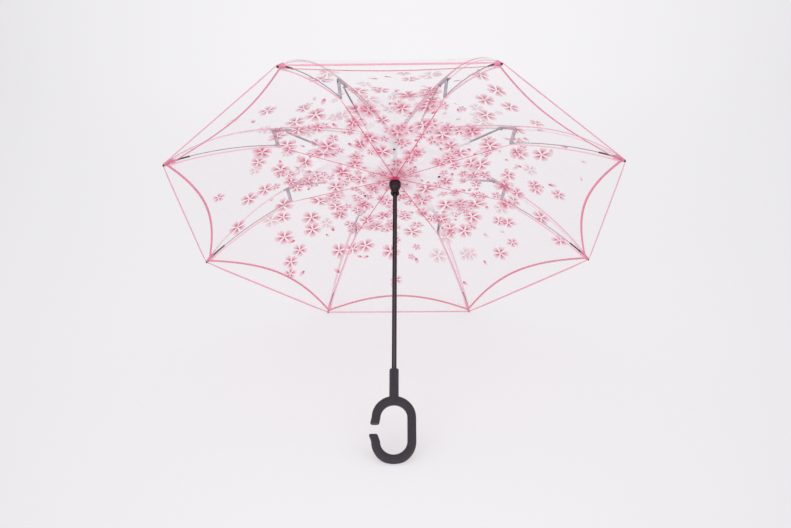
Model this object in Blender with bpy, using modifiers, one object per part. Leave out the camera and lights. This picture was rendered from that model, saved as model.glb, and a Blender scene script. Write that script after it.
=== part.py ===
"""Reverse-folding umbrella with two clear canopies, open, standing upright on its shaft.

Metres, +Z up. The origin is the lowest point of the C-shaped handle, on the shaft's axis.
Each of the ribs is drawn in its own plane: x is the distance from the shaft, y is the side
of the rib and z is the height. An empty at each hinge carries the pieces that turn there.
"""

import math

import bmesh
import bpy
from mathutils import Matrix, Vector

MM = 0.001
CLEARANCE = 0.3 * MM
OVERRUN = 4.0 * MM
WELD = 0.001 * MM

# Ribs of the open umbrella: the upper hinge, the knee below it, and what hangs from the knee
RIB_COUNT = 8
FIRST_RIB_DEG = 22.5
NOTCH_PIN_HEIGHT = 795.0 * MM
HINGE_SPACING = 105.0 * MM
KNEE_REACH = 297.0 * MM
KNEE_DROP = 62.0 * MM
OUTER_RIB_REACH = 220.5 * MM
OUTER_RIB_DROP = 161.0 * MM
POST_SET_BACK = 13.0 * MM
POST_DROP = 37.5 * MM
BRACE_BACK = 29.5 * MM
BRACE_RISE = 26.0 * MM

# Shaft
SHAFT_RADIUS = 5.0 * MM
SHAFT_WALL = 0.8 * MM
SHAFT_SEAT_DEPTH = 46.0 * MM
SHAFT_SIDES = 20

# Handle: a stadium-shaped C of square bar with softened edges, and its neck
HANDLE_HEIGHT = 137.0 * MM
HANDLE_WIDTH = 88.5 * MM
HANDLE_BAR = 17.7 * MM
HANDLE_DEPTH = 18.0 * MM
HANDLE_EDGE = 4.6 * MM
HANDLE_MOUTH = 22.5 * MM
HANDLE_MOUTH_RISE = 0.5 * MM
HANDLE_UPPER_SPLAY_DEG = 12.0
HANDLE_LOWER_SPLAY_DEG = 20.0
NECK_RADIUS = 9.6 * MM
NECK_LENGTH = 59.0 * MM
NECK_CHAMFER = 1.8 * MM
BEND_STEPS = 10

# Runner: a trumpet that slides on the shaft, with the slotted crown of the lower bars.
# Drops are below its pins' height
RUNNER_PIN_RADIUS = 12.5 * MM
RUNNER_FOOT_DROP = 55.0 * MM
RUNNER_FOOT_RING = 8.0 * MM
RUNNER_BEAD_RADIUS = 10.2 * MM
RUNNER_BEAD_HEIGHT = 4.0 * MM
RUNNER_BODY_RADIUS = 9.4 * MM
RUNNER_FLARE_LENGTH = 16.0 * MM
RUNNER_FLANGE_RADIUS = 14.0 * MM
RUNNER_FLANGE_HEIGHT = 5.0 * MM
RUNNER_FLANGE_ROUND = 1.5 * MM
RUNNER_SEAT_RADIUS = 9.4 * MM
RUNNER_SEAT_HEIGHT = 14.0 * MM
CROWN_HALF_HEIGHT = 7.0 * MM
CROWN_RADIUS = 14.4 * MM
CATCH_GROOVE_DEPTH = 2.9 * MM
CATCH_GROOVE_ROOF = 1.4 * MM
RELEASE_WINDOW_HEIGHT = 13.0 * MM
RUNNER_REST_GAP = 29.0 * MM
TURNED_STEPS = 24
FLARE_STEPS = 4

# Top notch: the slotted disc of the upper bars
NOTCH_PIN_RADIUS = 12.0 * MM
NOTCH_HUB_DROP = 15.0 * MM
NOTCH_HUB_RADIUS = 8.3 * MM
NOTCH_DISC_DROP = 5.5 * MM
NOTCH_DISC_RISE = 5.4 * MM
NOTCH_RADIUS = 14.0 * MM

# The wires on which the bars' eyes turn
WIRE_RADIUS = 0.6 * MM
WIRE_STEPS = 24

# Bars: pressed channels, open below, with a round eye at each end
BAR_WIDTH = 3.0 * MM
BAR_STEP = 0.15 * MM
BAR_HALF_HEIGHT = 1.9 * MM
BAR_WALL = 0.6 * MM
EYE_HOLE = 1.1 * MM
UPPER_BAR_BOW = 14.0 * MM
UPPER_BAR_STEPS = 9
EYE_PLAIN_LENGTH = 7.0 * MM
LUG_BACK = 33.0 * MM
LUG_DROP = 3.4 * MM
LUG_RADIUS = 2.9 * MM
SLEEVE_HALF_HEIGHT = 2.7 * MM
LOWER_BAR_WIDTH = 2.6 * MM
LOWER_BAR_HALF_HEIGHT = 1.9 * MM
LOWER_EYE_HOLE = 1.4 * MM
RIVET_RADIUS = 1.7 * MM
RIVET_HEAD = 0.5 * MM
CAP_STEPS = 4
PIN_SIDES = 8

# Knee link: rivet head, two cheeks and the web of the post
CHEEK_WALL = 0.8 * MM
KNEE_HEAD_WALL = 0.5 * MM
KNEE_RADIUS = 3.6 * MM
KNEE_PIN_RADIUS = 0.8 * MM
POST_WEB = 0.8 * MM
POST_OPEN_LENGTH = 9.0 * MM
POST_FOOT_RADIUS = 3.0 * MM

# Glass-fibre rods of the outer rib and the sockets that hold them
ROD_RADIUS = 1.1 * MM
OUTER_ROD_BOW = 22.0 * MM
LOWER_ROD_BOW = 9.0 * MM
ROD_STEPS = 6
ROD_LANE_SHARE = 0.66
SOCKET_RADIUS = 2.0 * MM
BRACE_RADIUS = 1.9 * MM
SOCKET_DEPTH = 9.0 * MM
SOCKET_FLOOR = 1.5 * MM
TIP_SLEEVE_LENGTH = 24.0 * MM
TIP_BRACE_LENGTH = 22.0 * MM
TIP_NOSE_LENGTH = 3.0 * MM
TIP_NOSE_RADIUS = 1.2 * MM
TIP_CAP_WALL = 3.0 * MM
TIP_SIDES = 10

# Canopies of clear film
FILM = 0.25 * MM
FILM_HOLE_GAP = 1.2 * MM
FILM_COLLAR_REACH = 2.0 * MM
FILM_SEAT_GAP = 0.7 * MM
FILM_OVER_KNEE = 5.9 * MM
FILM_PAST_KNEE = 2.0 * MM
FILM_UNDER_CROWN = 2.6 * MM
FILM_OVER_FLANGE = 1.5 * MM
FILM_UNDER_POST = 4.1 * MM
FILM_PAST_POST = 0.5 * MM
FILM_PAST_ROD = 2.5 * MM
OUTER_FILM_BOW = 14.5 * MM
OUTER_FILM_EDGE_BOW = 21.5 * MM
INNER_FILM_EDGE_BOW = 9.0 * MM
INNER_HEM_BACK = 5.0 * MM
INNER_HEM_RISE = 1.0 * MM
INNER_SCALLOP_SHARE = 0.108
PANEL_SAG_SHARE = 0.022
FILM_ROWS_INSIDE = 4
FILM_ROWS_OUTSIDE = 6
FILM_COLUMNS = 6

# Top cap
CAP_SEAT_GAP = 0.6 * MM
CAP_RADIUS = 10.5 * MM
CAP_RIM = 3.0 * MM
CAP_HEIGHT = 16.3 * MM
CAP_ROOF = 7.0 * MM
CAP_DOME_STEPS = 5

# Stop pin across the shaft above the runner
STOP_PIN_RADIUS = 1.1 * MM
STOP_PIN_HALF_LENGTH = 7.0 * MM

# Spring catches in the shaft
CATCH_WIDTH = 2.4 * MM
CATCH_TOOTH = 2.3 * MM
CATCH_TOOTH_HEIGHT = 9.0 * MM
CATCH_ARM_LENGTH = 24.0 * MM
CATCH_ARM_HALF_HEIGHT = 1.2 * MM
CATCH_PIN_RADIUS = 0.8 * MM
CATCH_PIN_HALF_LENGTH = 4.8 * MM
CATCH_SLOT_HEADROOM = 1.0 * MM

# Places that follow from the sizes above
BORE_RADIUS = SHAFT_RADIUS + CLEARANCE
SHAFT_BORE = SHAFT_RADIUS - SHAFT_WALL
EYE_SLOT_HALF = BAR_WIDTH / 2 + CLEARANCE
LOWER_BAR_SIDE = -(EYE_SLOT_HALF + KNEE_HEAD_WALL + CLEARANCE + LOWER_BAR_WIDTH / 2)
SOCKET_SIDE = EYE_SLOT_HALF + CLEARANCE + SOCKET_RADIUS
NECK_TOP = HANDLE_HEIGHT + NECK_LENGTH
SHAFT_FOOT = NECK_TOP - SHAFT_SEAT_DEPTH
NOTCH_PIN = (NOTCH_PIN_RADIUS, NOTCH_PIN_HEIGHT)
NOTCH_TOP = NOTCH_PIN_HEIGHT + NOTCH_DISC_RISE
KNEE = (KNEE_REACH, NOTCH_PIN_HEIGHT - KNEE_DROP)
POST_FOOT = (KNEE[0] - POST_SET_BACK, KNEE[1] - POST_DROP)
ROD_END = (KNEE[0] + OUTER_RIB_REACH, KNEE[1] - OUTER_RIB_DROP)
LOWER_ROD_END = (ROD_END[0] - BRACE_BACK, ROD_END[1] + BRACE_RISE)
RUNNER_PIN_HEIGHT = NOTCH_PIN_HEIGHT - HINGE_SPACING
RUNNER_PIN = (RUNNER_PIN_RADIUS, RUNNER_PIN_HEIGHT)
CROWN_TOP = RUNNER_PIN_HEIGHT + CROWN_HALF_HEIGHT
CROWN_FOOT = RUNNER_PIN_HEIGHT - CROWN_HALF_HEIGHT
RUNNER_FLANGE_TOP = CROWN_FOOT - RUNNER_SEAT_HEIGHT
RUNNER_FLARE_TOP = RUNNER_FLANGE_TOP - RUNNER_FLANGE_HEIGHT
RUNNER_FLARE_FOOT = RUNNER_FLARE_TOP - RUNNER_FLARE_LENGTH
RUNNER_FOOT = RUNNER_PIN_HEIGHT - RUNNER_FOOT_DROP
RUNNER_REST_FOOT = NECK_TOP + RUNNER_REST_GAP
STOP_PIN_HEIGHT = CROWN_TOP + CLEARANCE + STOP_PIN_RADIUS
UPPER_TOOTH_TOP = RUNNER_FOOT - CLEARANCE
LOWER_TOOTH_FOOT = RUNNER_REST_FOOT + RUNNER_FOOT_RING + CLEARANCE
UPPER_CATCH_PIN_HEIGHT = UPPER_TOOTH_TOP - CATCH_TOOTH_HEIGHT - CATCH_ARM_LENGTH
LOWER_CATCH_PIN_HEIGHT = LOWER_TOOTH_FOOT + CATCH_TOOTH_HEIGHT + CATCH_ARM_LENGTH
OUTER_FILM_SEAT = NOTCH_TOP + FILM_SEAT_GAP
OUTER_FILM_CENTRE = (SHAFT_RADIUS + FILM_HOLE_GAP, OUTER_FILM_SEAT)
OUTER_FILM_COLLAR = (NOTCH_RADIUS + FILM_COLLAR_REACH, OUTER_FILM_SEAT)
OUTER_FILM_KNEE = (KNEE[0] + FILM_PAST_KNEE, KNEE[1] + FILM_OVER_KNEE)
OUTER_CORNER = (ROD_END[0] + FILM_PAST_ROD, ROD_END[1] + FILM_PAST_ROD)
INNER_FILM_FOOT = (RUNNER_SEAT_RADIUS + FILM_HOLE_GAP, RUNNER_FLANGE_TOP + FILM_OVER_FLANGE)
INNER_FILM_CENTRE = (INNER_FILM_FOOT[0], CROWN_FOOT - FILM_UNDER_CROWN)
INNER_FILM_KNEE = (POST_FOOT[0] + FILM_PAST_POST, POST_FOOT[1] - FILM_UNDER_POST)
INNER_CORNER = (ROD_END[0] - INNER_HEM_BACK, ROD_END[1] + INNER_HEM_RISE)
CAP_FOOT = OUTER_FILM_SEAT + CAP_SEAT_GAP
CAP_TOP = CAP_FOOT + CAP_HEIGHT
SHAFT_TOP = CAP_TOP - CAP_ROOF

# Rib plane to Blender: the outline's x stays, its y becomes the height
UPRIGHT = Matrix.Rotation(math.pi / 2, 4, "X")


# Outlines in a plane, as lists of (x, y)

def arc(centre, radius, first, last, steps):
    """Points on a circle's arc, angles in radians, both ends included."""
    turn = (last - first) / steps
    return [
        (centre[0] + radius * math.cos(first + turn * i), centre[1] + radius * math.sin(first + turn * i))
        for i in range(steps + 1)
    ]


def bowed(start, end, bow, steps):
    """Points on the circular arc from start to end that rises by bow above its chord."""
    run = Vector(end) - Vector(start)
    half = run.length / 2
    radius = (half * half + bow * bow) / (2 * bow)
    across = Vector((-run.y, run.x)).normalized()
    centre = Vector(start) + run / 2 - across * (radius - bow)
    first = math.atan2(start[1] - centre.y, start[0] - centre.x)
    last = math.atan2(end[1] - centre.y, end[0] - centre.x)
    return arc(centre, radius, first, last, steps)


def direction_at(points, index):
    """Unit direction of a line of points at one of them."""
    before = Vector(points[max(index - 1, 0)])
    after = Vector(points[min(index + 1, len(points) - 1)])
    return (after - before).normalized()


def shifted(points, distance):
    """The line moved to its left by distance."""
    moved = []
    for i, point in enumerate(points):
        along = direction_at(points, i)
        moved.append((point[0] - along.y * distance, point[1] + along.x * distance))
    return moved


def ribbon(points, half, round_ends=True):
    """Closed outline of a strip of half width along a line of points."""
    left, right = shifted(points, half), shifted(points, -half)
    if not round_ends:
        return left + right[::-1]
    end, start = direction_at(points, len(points) - 1), direction_at(points, 0)
    end_angle, start_angle = math.atan2(end.y, end.x), math.atan2(start.y, start.x)
    quarter = math.pi / 2
    nose = arc(points[-1], half, end_angle + quarter, end_angle - quarter, CAP_STEPS)
    tail = arc(points[0], half, start_angle - quarter, start_angle - 3 * quarter, CAP_STEPS)
    return left[1:-1] + nose + right[-2:0:-1] + tail


def along(points, share):
    """The point at a share of a line's length."""
    lengths = [(Vector(b) - Vector(a)).length for a, b in zip(points, points[1:])]
    left = share * sum(lengths)
    for (a, b), length in zip(zip(points, points[1:]), lengths):
        if left <= length:
            return Vector(a).lerp(Vector(b), left / length)
        left -= length
    return Vector(points[-1])


def length_of(points):
    return sum((Vector(b) - Vector(a)).length for a, b in zip(points, points[1:]))


# Making and joining solids

def material(name, colour, roughness, metallic=0.0, alpha=1.0):
    made = bpy.data.materials.new(name)
    made.use_nodes = True
    made.diffuse_color = (*colour, alpha)
    shader = made.node_tree.nodes["Principled BSDF"]
    shader.inputs["Base Color"].default_value = (*colour, 1.0)
    shader.inputs["Roughness"].default_value = roughness
    shader.inputs["Metallic"].default_value = metallic
    shader.inputs["Alpha"].default_value = alpha
    return made


def evaluated_mesh(thing):
    """The object's mesh with its modifiers applied, in its parent's space, welded."""
    bpy.context.view_layer.update()
    graph = bpy.context.evaluated_depsgraph_get()
    mesh = bpy.data.meshes.new_from_object(thing.evaluated_get(graph))
    mesh.transform(thing.matrix_world)
    shape = bmesh.new()
    shape.from_mesh(mesh)
    bmesh.ops.remove_doubles(shape, verts=shape.verts, dist=WELD)
    loose = [edge for edge in shape.edges if not edge.link_faces]
    bmesh.ops.delete(shape, geom=loose, context="EDGES")
    bmesh.ops.recalc_face_normals(shape, faces=shape.faces)
    shape.to_mesh(mesh)
    shape.free()
    return mesh


def draft(name, data, matrix=None):
    """A working object in the scene."""
    thing = bpy.data.objects.new(name, data)
    bpy.context.scene.collection.objects.link(thing)
    if matrix is not None:
        thing.matrix_world = matrix
    return thing


def settled(thing):
    """The same object as a plain mesh at the origin."""
    mesh = evaluated_mesh(thing)
    name = thing.name
    bpy.data.objects.remove(thing, do_unlink=True)
    return draft(name, mesh)


def plate(name, outline, side_from, side_to):
    """A flat outline in the rib's plane, as thick as the two sides say."""
    curve = bpy.data.curves.new(name, "CURVE")
    curve.dimensions = "2D"
    curve.fill_mode = "BOTH"
    curve.extrude = (side_to - side_from) / 2
    spline = curve.splines.new("POLY")
    spline.points.add(len(outline) - 1)
    for point, (x, y) in zip(spline.points, outline):
        point.co = (x, y, 0.0, 1.0)
    spline.use_cyclic_u = True
    middle = Matrix.Translation((0.0, (side_from + side_to) / 2, 0.0))
    return settled(draft(name, curve, middle @ UPRIGHT))


def tube(name, points, radius, end_share=1.0):
    """A round rod along points, with filled ends. Its last point can be thinner."""
    curve = bpy.data.curves.new(name, "CURVE")
    curve.dimensions = "3D"
    curve.bevel_depth = radius
    curve.bevel_resolution = 2
    curve.use_fill_caps = True
    spline = curve.splines.new("POLY")
    spline.points.add(len(points) - 1)
    for point, place in zip(spline.points, points):
        point.co = (*place, 1.0)
    spline.points[-1].radius = end_share
    return settled(draft(name, curve))


def ring(name, radius, height, wire_radius, steps):
    """A closed wire ring around the shaft."""
    curve = bpy.data.curves.new(name, "CURVE")
    curve.dimensions = "3D"
    curve.bevel_depth = wire_radius
    curve.bevel_resolution = 1
    spline = curve.splines.new("POLY")
    spline.points.add(steps - 1)
    for i, point in enumerate(spline.points):
        angle = 2 * math.pi * i / steps
        point.co = (radius * math.cos(angle), radius * math.sin(angle), height, 1.0)
    spline.use_cyclic_u = True
    return settled(draft(name, curve))


def turned(name, profile, steps):
    """A profile of (radius, height), given down its outer side, turned about the shaft."""
    mesh = bpy.data.meshes.new(name)
    points = [(radius, 0.0, height) for radius, height in profile]
    count = len(points)
    mesh.from_pydata(points, [(i, (i + 1) % count) for i in range(count)], [])
    thing = draft(name, mesh)
    screw = thing.modifiers.new("Turn", "SCREW")
    screw.steps = steps
    screw.render_steps = steps
    screw.use_merge_vertices = True
    screw.merge_threshold = WELD
    return settled(thing)


def rod(name, start, end, radius, sides, end_radius=None):
    """A cylinder or cone between two places."""
    axis = Vector(end) - Vector(start)
    mesh = bpy.data.meshes.new(name)
    shape = bmesh.new()
    bmesh.ops.create_cone(
        shape, cap_ends=True, segments=sides, radius1=radius,
        radius2=radius if end_radius is None else end_radius, depth=axis.length,
    )
    shape.to_mesh(mesh)
    shape.free()
    middle = Matrix.Translation((Vector(start) + Vector(end)) / 2)
    return settled(draft(name, mesh, middle @ axis.to_track_quat("Z", "Y").to_matrix().to_4x4()))


def block(name, low, high, turn=0.0):
    """A box between two corners, turned about the shaft."""
    mesh = bpy.data.meshes.new(name)
    shape = bmesh.new()
    bmesh.ops.create_cube(shape, size=1.0)
    shape.to_mesh(mesh)
    shape.free()
    low, high = Vector(low), Vector(high)
    place = Matrix.Translation((low + high) / 2) @ Matrix.Diagonal((*(high - low), 1.0))
    return settled(draft(name, mesh, Matrix.Rotation(turn, 4, "Z") @ place))


def combined(first, second, operation):
    """The first solid joined with the second, or cut by it."""
    change = first.modifiers.new(operation.title(), "BOOLEAN")
    change.operation = operation
    change.object = second
    change.solver = "EXACT"
    name = first.name
    made = settled(first)
    bpy.data.objects.remove(second, do_unlink=True)
    made.name = name
    return made


def joined(first, *others):
    for other in others:
        first = combined(first, other, "UNION")
    return first


def cut(first, *cutters):
    for cutter in cutters:
        first = combined(first, cutter, "DIFFERENCE")
    return first


def side_rod(name, place, side_from, side_to, radius):
    """A round rod across the rib's plane."""
    start, end = (place[0], side_from, place[1]), (place[0], side_to, place[1])
    return rod(name, start, end, radius, PIN_SIDES)


# Central pieces

def handle():
    """C-shaped grip with the neck that takes the shaft."""
    half_bar = HANDLE_BAR / 2
    bend = HANDLE_WIDTH / 2 - half_bar
    upper, lower = HANDLE_HEIGHT - HANDLE_WIDTH / 2, HANDLE_WIDTH / 2
    mouth = (upper + lower) / 2 + HANDLE_MOUTH_RISE
    top, bottom = mouth + HANDLE_MOUTH / 2, mouth - HANDLE_MOUTH / 2
    upper_splay = (upper - top) * math.tan(math.radians(HANDLE_UPPER_SPLAY_DEG))
    lower_splay = (bottom - lower) * math.tan(math.radians(HANDLE_LOWER_SPLAY_DEG))
    line = [(-bend - upper_splay, top)]
    line += arc((0.0, upper), bend, math.pi, 0.0, BEND_STEPS)
    line += arc((0.0, lower), bend, 0.0, -math.pi, BEND_STEPS)
    line += [(-bend - lower_splay, bottom)]
    grip = plate("handle", ribbon(line, half_bar, round_ends=False), -HANDLE_DEPTH / 2, HANDLE_DEPTH / 2)
    soften = grip.modifiers.new("Edges", "BEVEL")
    soften.width = HANDLE_EDGE
    soften.segments = 3
    soften.limit_method = "ANGLE"
    soften.angle_limit = math.radians(50)
    grip = settled(grip)
    neck_foot = HANDLE_HEIGHT - half_bar
    neck = turned(
        "neck",
        [
            (0.0, NECK_TOP),
            (NECK_RADIUS - NECK_CHAMFER, NECK_TOP),
            (NECK_RADIUS, NECK_TOP - NECK_CHAMFER),
            (NECK_RADIUS, neck_foot),
            (0.0, neck_foot),
        ],
        TURNED_STEPS,
    )
    bore = rod(
        "bore", (0.0, 0.0, SHAFT_FOOT - CLEARANCE), (0.0, 0.0, NECK_TOP + OVERRUN), BORE_RADIUS, SHAFT_SIDES
    )
    return cut(joined(grip, neck), bore)


def catch_slot(tooth_low, tooth_high):
    """The window in the shaft's back wall through which a catch's tooth stands out."""
    half = CATCH_WIDTH / 2 + CLEARANCE
    return block(
        "slot",
        (-half, 0.0, tooth_low - CATCH_SLOT_HEADROOM),
        (half, SHAFT_RADIUS + OVERRUN, tooth_high + CATCH_SLOT_HEADROOM),
    )


def cross_pin(name, height, reach, radius):
    """A round pin through the shaft's axis, along x."""
    return rod(name, (-reach, 0.0, height), (reach, 0.0, height), radius, PIN_SIDES)


def cross_hole(height, radius):
    """A hole through both walls of the shaft, along x."""
    return cross_pin("hole", height, SHAFT_RADIUS + OVERRUN, radius + CLEARANCE)


def shaft():
    """Steel tube with the catches' slots and the holes of its cross pins."""
    tube_ = turned(
        "shaft",
        [
            (SHAFT_RADIUS, SHAFT_TOP),
            (SHAFT_RADIUS, SHAFT_FOOT),
            (SHAFT_BORE, SHAFT_FOOT),
            (SHAFT_BORE, SHAFT_TOP),
        ],
        SHAFT_SIDES,
    )
    return cut(
        tube_,
        catch_slot(UPPER_TOOTH_TOP - CATCH_TOOTH_HEIGHT, UPPER_TOOTH_TOP),
        catch_slot(LOWER_TOOTH_FOOT, LOWER_TOOTH_FOOT + CATCH_TOOTH_HEIGHT),
        cross_hole(UPPER_CATCH_PIN_HEIGHT, CATCH_PIN_RADIUS),
        cross_hole(LOWER_CATCH_PIN_HEIGHT, CATCH_PIN_RADIUS),
        cross_hole(STOP_PIN_HEIGHT, STOP_PIN_RADIUS),
    )


def catch(name, pin_height, way):
    """Spring catch: an arm inside the shaft from its cross pin to a tooth that stands out.

    way is 1 where the tooth lies above the pin and -1 where it lies below. The tooth's face
    is flat on the side away from the pin, and ramps towards it.
    """
    back = CATCH_ARM_HALF_HEIGHT
    face = CATCH_ARM_LENGTH + CATCH_TOOTH_HEIGHT
    outline = arc((0.0, 0.0), back, math.pi, 2 * math.pi, CAP_STEPS)
    outline += [
        (back, CATCH_ARM_LENGTH),
        (SHAFT_BORE - SHAFT_WALL, CATCH_ARM_LENGTH),
        (SHAFT_RADIUS + CATCH_TOOTH, face),
        (-back, face),
    ]
    half = CATCH_WIDTH / 2
    made = plate(name, [(x, pin_height + way * rise) for x, rise in outline], -half, half)
    made.matrix_world = Matrix.Rotation(math.pi / 2, 4, "Z")
    made = settled(made)
    made.name = name
    return joined(made, cross_pin("pin", pin_height, CATCH_PIN_HALF_LENGTH, CATCH_PIN_RADIUS))


def bar_slots(pin_radius, side, width, foot, top):
    """The slots of the bars' eyes, one for each rib."""
    half = width / 2 + CLEARANCE
    depth = BAR_HALF_HEIGHT + 2 * CLEARANCE
    cutters = []
    for i in range(RIB_COUNT):
        low = (pin_radius - depth, side - half, foot)
        high = (pin_radius + OVERRUN + depth, side + half, top)
        cutters.append(block("slot", low, high, rib_angle(i)))
    return cutters


def wire_radius_at(pin_radius, side):
    """Radius of the ring that passes through an eye set to the side of its rib."""
    return math.hypot(pin_radius, side)


def runner():
    """Trumpet-shaped slider with a flange under the inner canopy and the crown above it."""
    flare = bowed(
        (RUNNER_FLANGE_RADIUS, RUNNER_FLARE_TOP), (RUNNER_BODY_RADIUS, RUNNER_FLARE_FOOT),
        RUNNER_FLANGE_ROUND, FLARE_STEPS,
    )
    wire = wire_radius_at(RUNNER_PIN_RADIUS, LOWER_BAR_SIDE)
    groove_half = WIRE_RADIUS + CLEARANCE
    groove_floor = wire - groove_half
    profile = [
        (CROWN_RADIUS, CROWN_TOP),
        (CROWN_RADIUS, RUNNER_PIN_HEIGHT + groove_half),
        (groove_floor, RUNNER_PIN_HEIGHT + groove_half),
        (groove_floor, RUNNER_PIN_HEIGHT - groove_half),
        (CROWN_RADIUS, RUNNER_PIN_HEIGHT - groove_half),
        (CROWN_RADIUS, CROWN_FOOT),
        (RUNNER_SEAT_RADIUS, CROWN_FOOT),
        (RUNNER_SEAT_RADIUS, RUNNER_FLANGE_TOP),
        (RUNNER_FLANGE_RADIUS - RUNNER_FLANGE_ROUND, RUNNER_FLANGE_TOP),
        (RUNNER_FLANGE_RADIUS, RUNNER_FLANGE_TOP - RUNNER_FLANGE_ROUND),
    ]
    profile += flare
    profile += [
        (RUNNER_BODY_RADIUS, RUNNER_FOOT + RUNNER_BEAD_HEIGHT + RUNNER_FLANGE_ROUND),
        (RUNNER_BEAD_RADIUS, RUNNER_FOOT + RUNNER_BEAD_HEIGHT),
        (RUNNER_BEAD_RADIUS, RUNNER_FOOT + RUNNER_FLANGE_ROUND),
        (RUNNER_BODY_RADIUS, RUNNER_FOOT),
        (BORE_RADIUS, RUNNER_FOOT),
        (BORE_RADIUS, CROWN_TOP),
    ]
    half = CATCH_WIDTH / 2 + 2 * CLEARANCE
    groove_foot = RUNNER_FOOT + RUNNER_FOOT_RING
    groove = block(
        "groove", (-half, 0.0, groove_foot),
        (half, BORE_RADIUS + CATCH_GROOVE_DEPTH, CROWN_TOP - CATCH_GROOVE_ROOF),
    )
    window = block(
        "window", (-half, 0.0, groove_foot),
        (half, RUNNER_BODY_RADIUS + OVERRUN, groove_foot + RELEASE_WINDOW_HEIGHT),
    )
    crown_cutters = bar_slots(
        RUNNER_PIN_RADIUS, LOWER_BAR_SIDE, LOWER_BAR_WIDTH,
        RUNNER_PIN_HEIGHT - BAR_HALF_HEIGHT - 2 * CLEARANCE, CROWN_TOP + OVERRUN,
    )
    return cut(turned("runner", profile, TURNED_STEPS), joined(groove, window), *crown_cutters)


def top_notch():
    """Slotted disc on the shaft's top that carries the upper bars."""
    groove_half = WIRE_RADIUS + CLEARANCE
    groove_floor = NOTCH_PIN_RADIUS - groove_half
    disc_foot, foot = NOTCH_PIN_HEIGHT - NOTCH_DISC_DROP, NOTCH_PIN_HEIGHT - NOTCH_HUB_DROP
    profile = [
        (NOTCH_RADIUS, NOTCH_TOP),
        (NOTCH_RADIUS, NOTCH_PIN_HEIGHT + groove_half),
        (groove_floor, NOTCH_PIN_HEIGHT + groove_half),
        (groove_floor, NOTCH_PIN_HEIGHT - groove_half),
        (NOTCH_RADIUS, NOTCH_PIN_HEIGHT - groove_half),
        (NOTCH_RADIUS, disc_foot),
        (NOTCH_HUB_RADIUS, disc_foot),
        (NOTCH_HUB_RADIUS, foot),
        (BORE_RADIUS, foot),
        (BORE_RADIUS, NOTCH_TOP),
    ]
    slots = bar_slots(
        NOTCH_PIN_RADIUS, 0.0, BAR_WIDTH, disc_foot - OVERRUN,
        NOTCH_PIN_HEIGHT + BAR_HALF_HEIGHT + 2 * CLEARANCE,
    )
    return cut(turned("top_notch", profile, TURNED_STEPS), *slots)


def top_cap():
    """Domed cap that holds the outer canopy's centre down on the notch."""
    dome = arc(
        (0.0, CAP_FOOT + CAP_RIM), CAP_RADIUS, math.pi / 2, 0.0, CAP_DOME_STEPS
    )
    rise = (CAP_TOP - CAP_FOOT - CAP_RIM) / CAP_RADIUS
    profile = [(x, CAP_FOOT + CAP_RIM + (y - CAP_FOOT - CAP_RIM) * rise) for x, y in dome]
    profile += [
        (CAP_RADIUS, CAP_FOOT),
        (BORE_RADIUS, CAP_FOOT),
        (BORE_RADIUS, SHAFT_TOP + CLEARANCE),
        (0.0, SHAFT_TOP + CLEARANCE),
    ]
    return turned("top_cap", profile, SHAFT_SIDES)


def stop_pin():
    """Cross pin that ends the runner's travel at the top."""
    return cross_pin("stop_pin", STOP_PIN_HEIGHT, STOP_PIN_HALF_LENGTH, STOP_PIN_RADIUS)


# Pieces of one rib, drawn in its plane

def upper_bar_line():
    return bowed(NOTCH_PIN, KNEE, UPPER_BAR_BOW, UPPER_BAR_STEPS)


def lug_pin():
    """Where the lower bar meets the lug under the upper bar."""
    line = upper_bar_line()
    share = 1 - LUG_BACK / length_of(line)
    here = along(line, share)
    ahead = (Vector(KNEE) - here).normalized()
    return Vector((here.x + ahead.y * LUG_DROP, here.y - ahead.x * LUG_DROP))


def channel_cutter(name, points, half_height, side, width):
    """What leaves a channel open below when it is cut from a solid bar."""
    inner = shifted(points, half_height - BAR_WALL)
    outer = shifted(points, -half_height - OVERRUN)
    half = width / 2 - BAR_WALL
    return plate(name, inner + outer[::-1], side - half, side + half)


def eye_hole(place, side, width, radius=EYE_HOLE):
    reach = width / 2 + OVERRUN
    return side_rod("hole", place, side - reach, side + reach, radius)


def upper_bar():
    """Bowed channel from the notch to the knee, with the sleeve and lug at its outer end."""
    line = upper_bar_line()
    lug_half = BAR_WIDTH / 2
    sleeve_half = lug_half - BAR_STEP
    half = sleeve_half - BAR_STEP
    total = length_of(line)
    bar = plate("upper_bar", ribbon(line, BAR_HALF_HEIGHT), -half, half)
    inside = [along(line, EYE_PLAIN_LENGTH / total)]
    inside += [Vector(point) for point in line[1:-2]]
    inside += [along(line, 1 - (LUG_BACK + EYE_PLAIN_LENGTH) / total)]
    bar = cut(bar, channel_cutter("channel", inside, BAR_HALF_HEIGHT, 0.0, 2 * half))
    pin = lug_pin()
    sleeve_start = along(line, 1 - LUG_BACK / total)
    sleeve_outline = ribbon([sleeve_start, Vector(KNEE)], SLEEVE_HALF_HEIGHT)
    sleeve = plate("sleeve", sleeve_outline, -sleeve_half, sleeve_half)
    lug = plate("lug", arc(pin, LUG_RADIUS, 0.0, 2 * math.pi, 3 * CAP_STEPS)[:-1], -lug_half, lug_half)
    bar = joined(bar, sleeve, lug)
    return cut(bar, eye_hole(NOTCH_PIN, 0.0, BAR_WIDTH), eye_hole(KNEE, 0.0, BAR_WIDTH))


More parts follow.
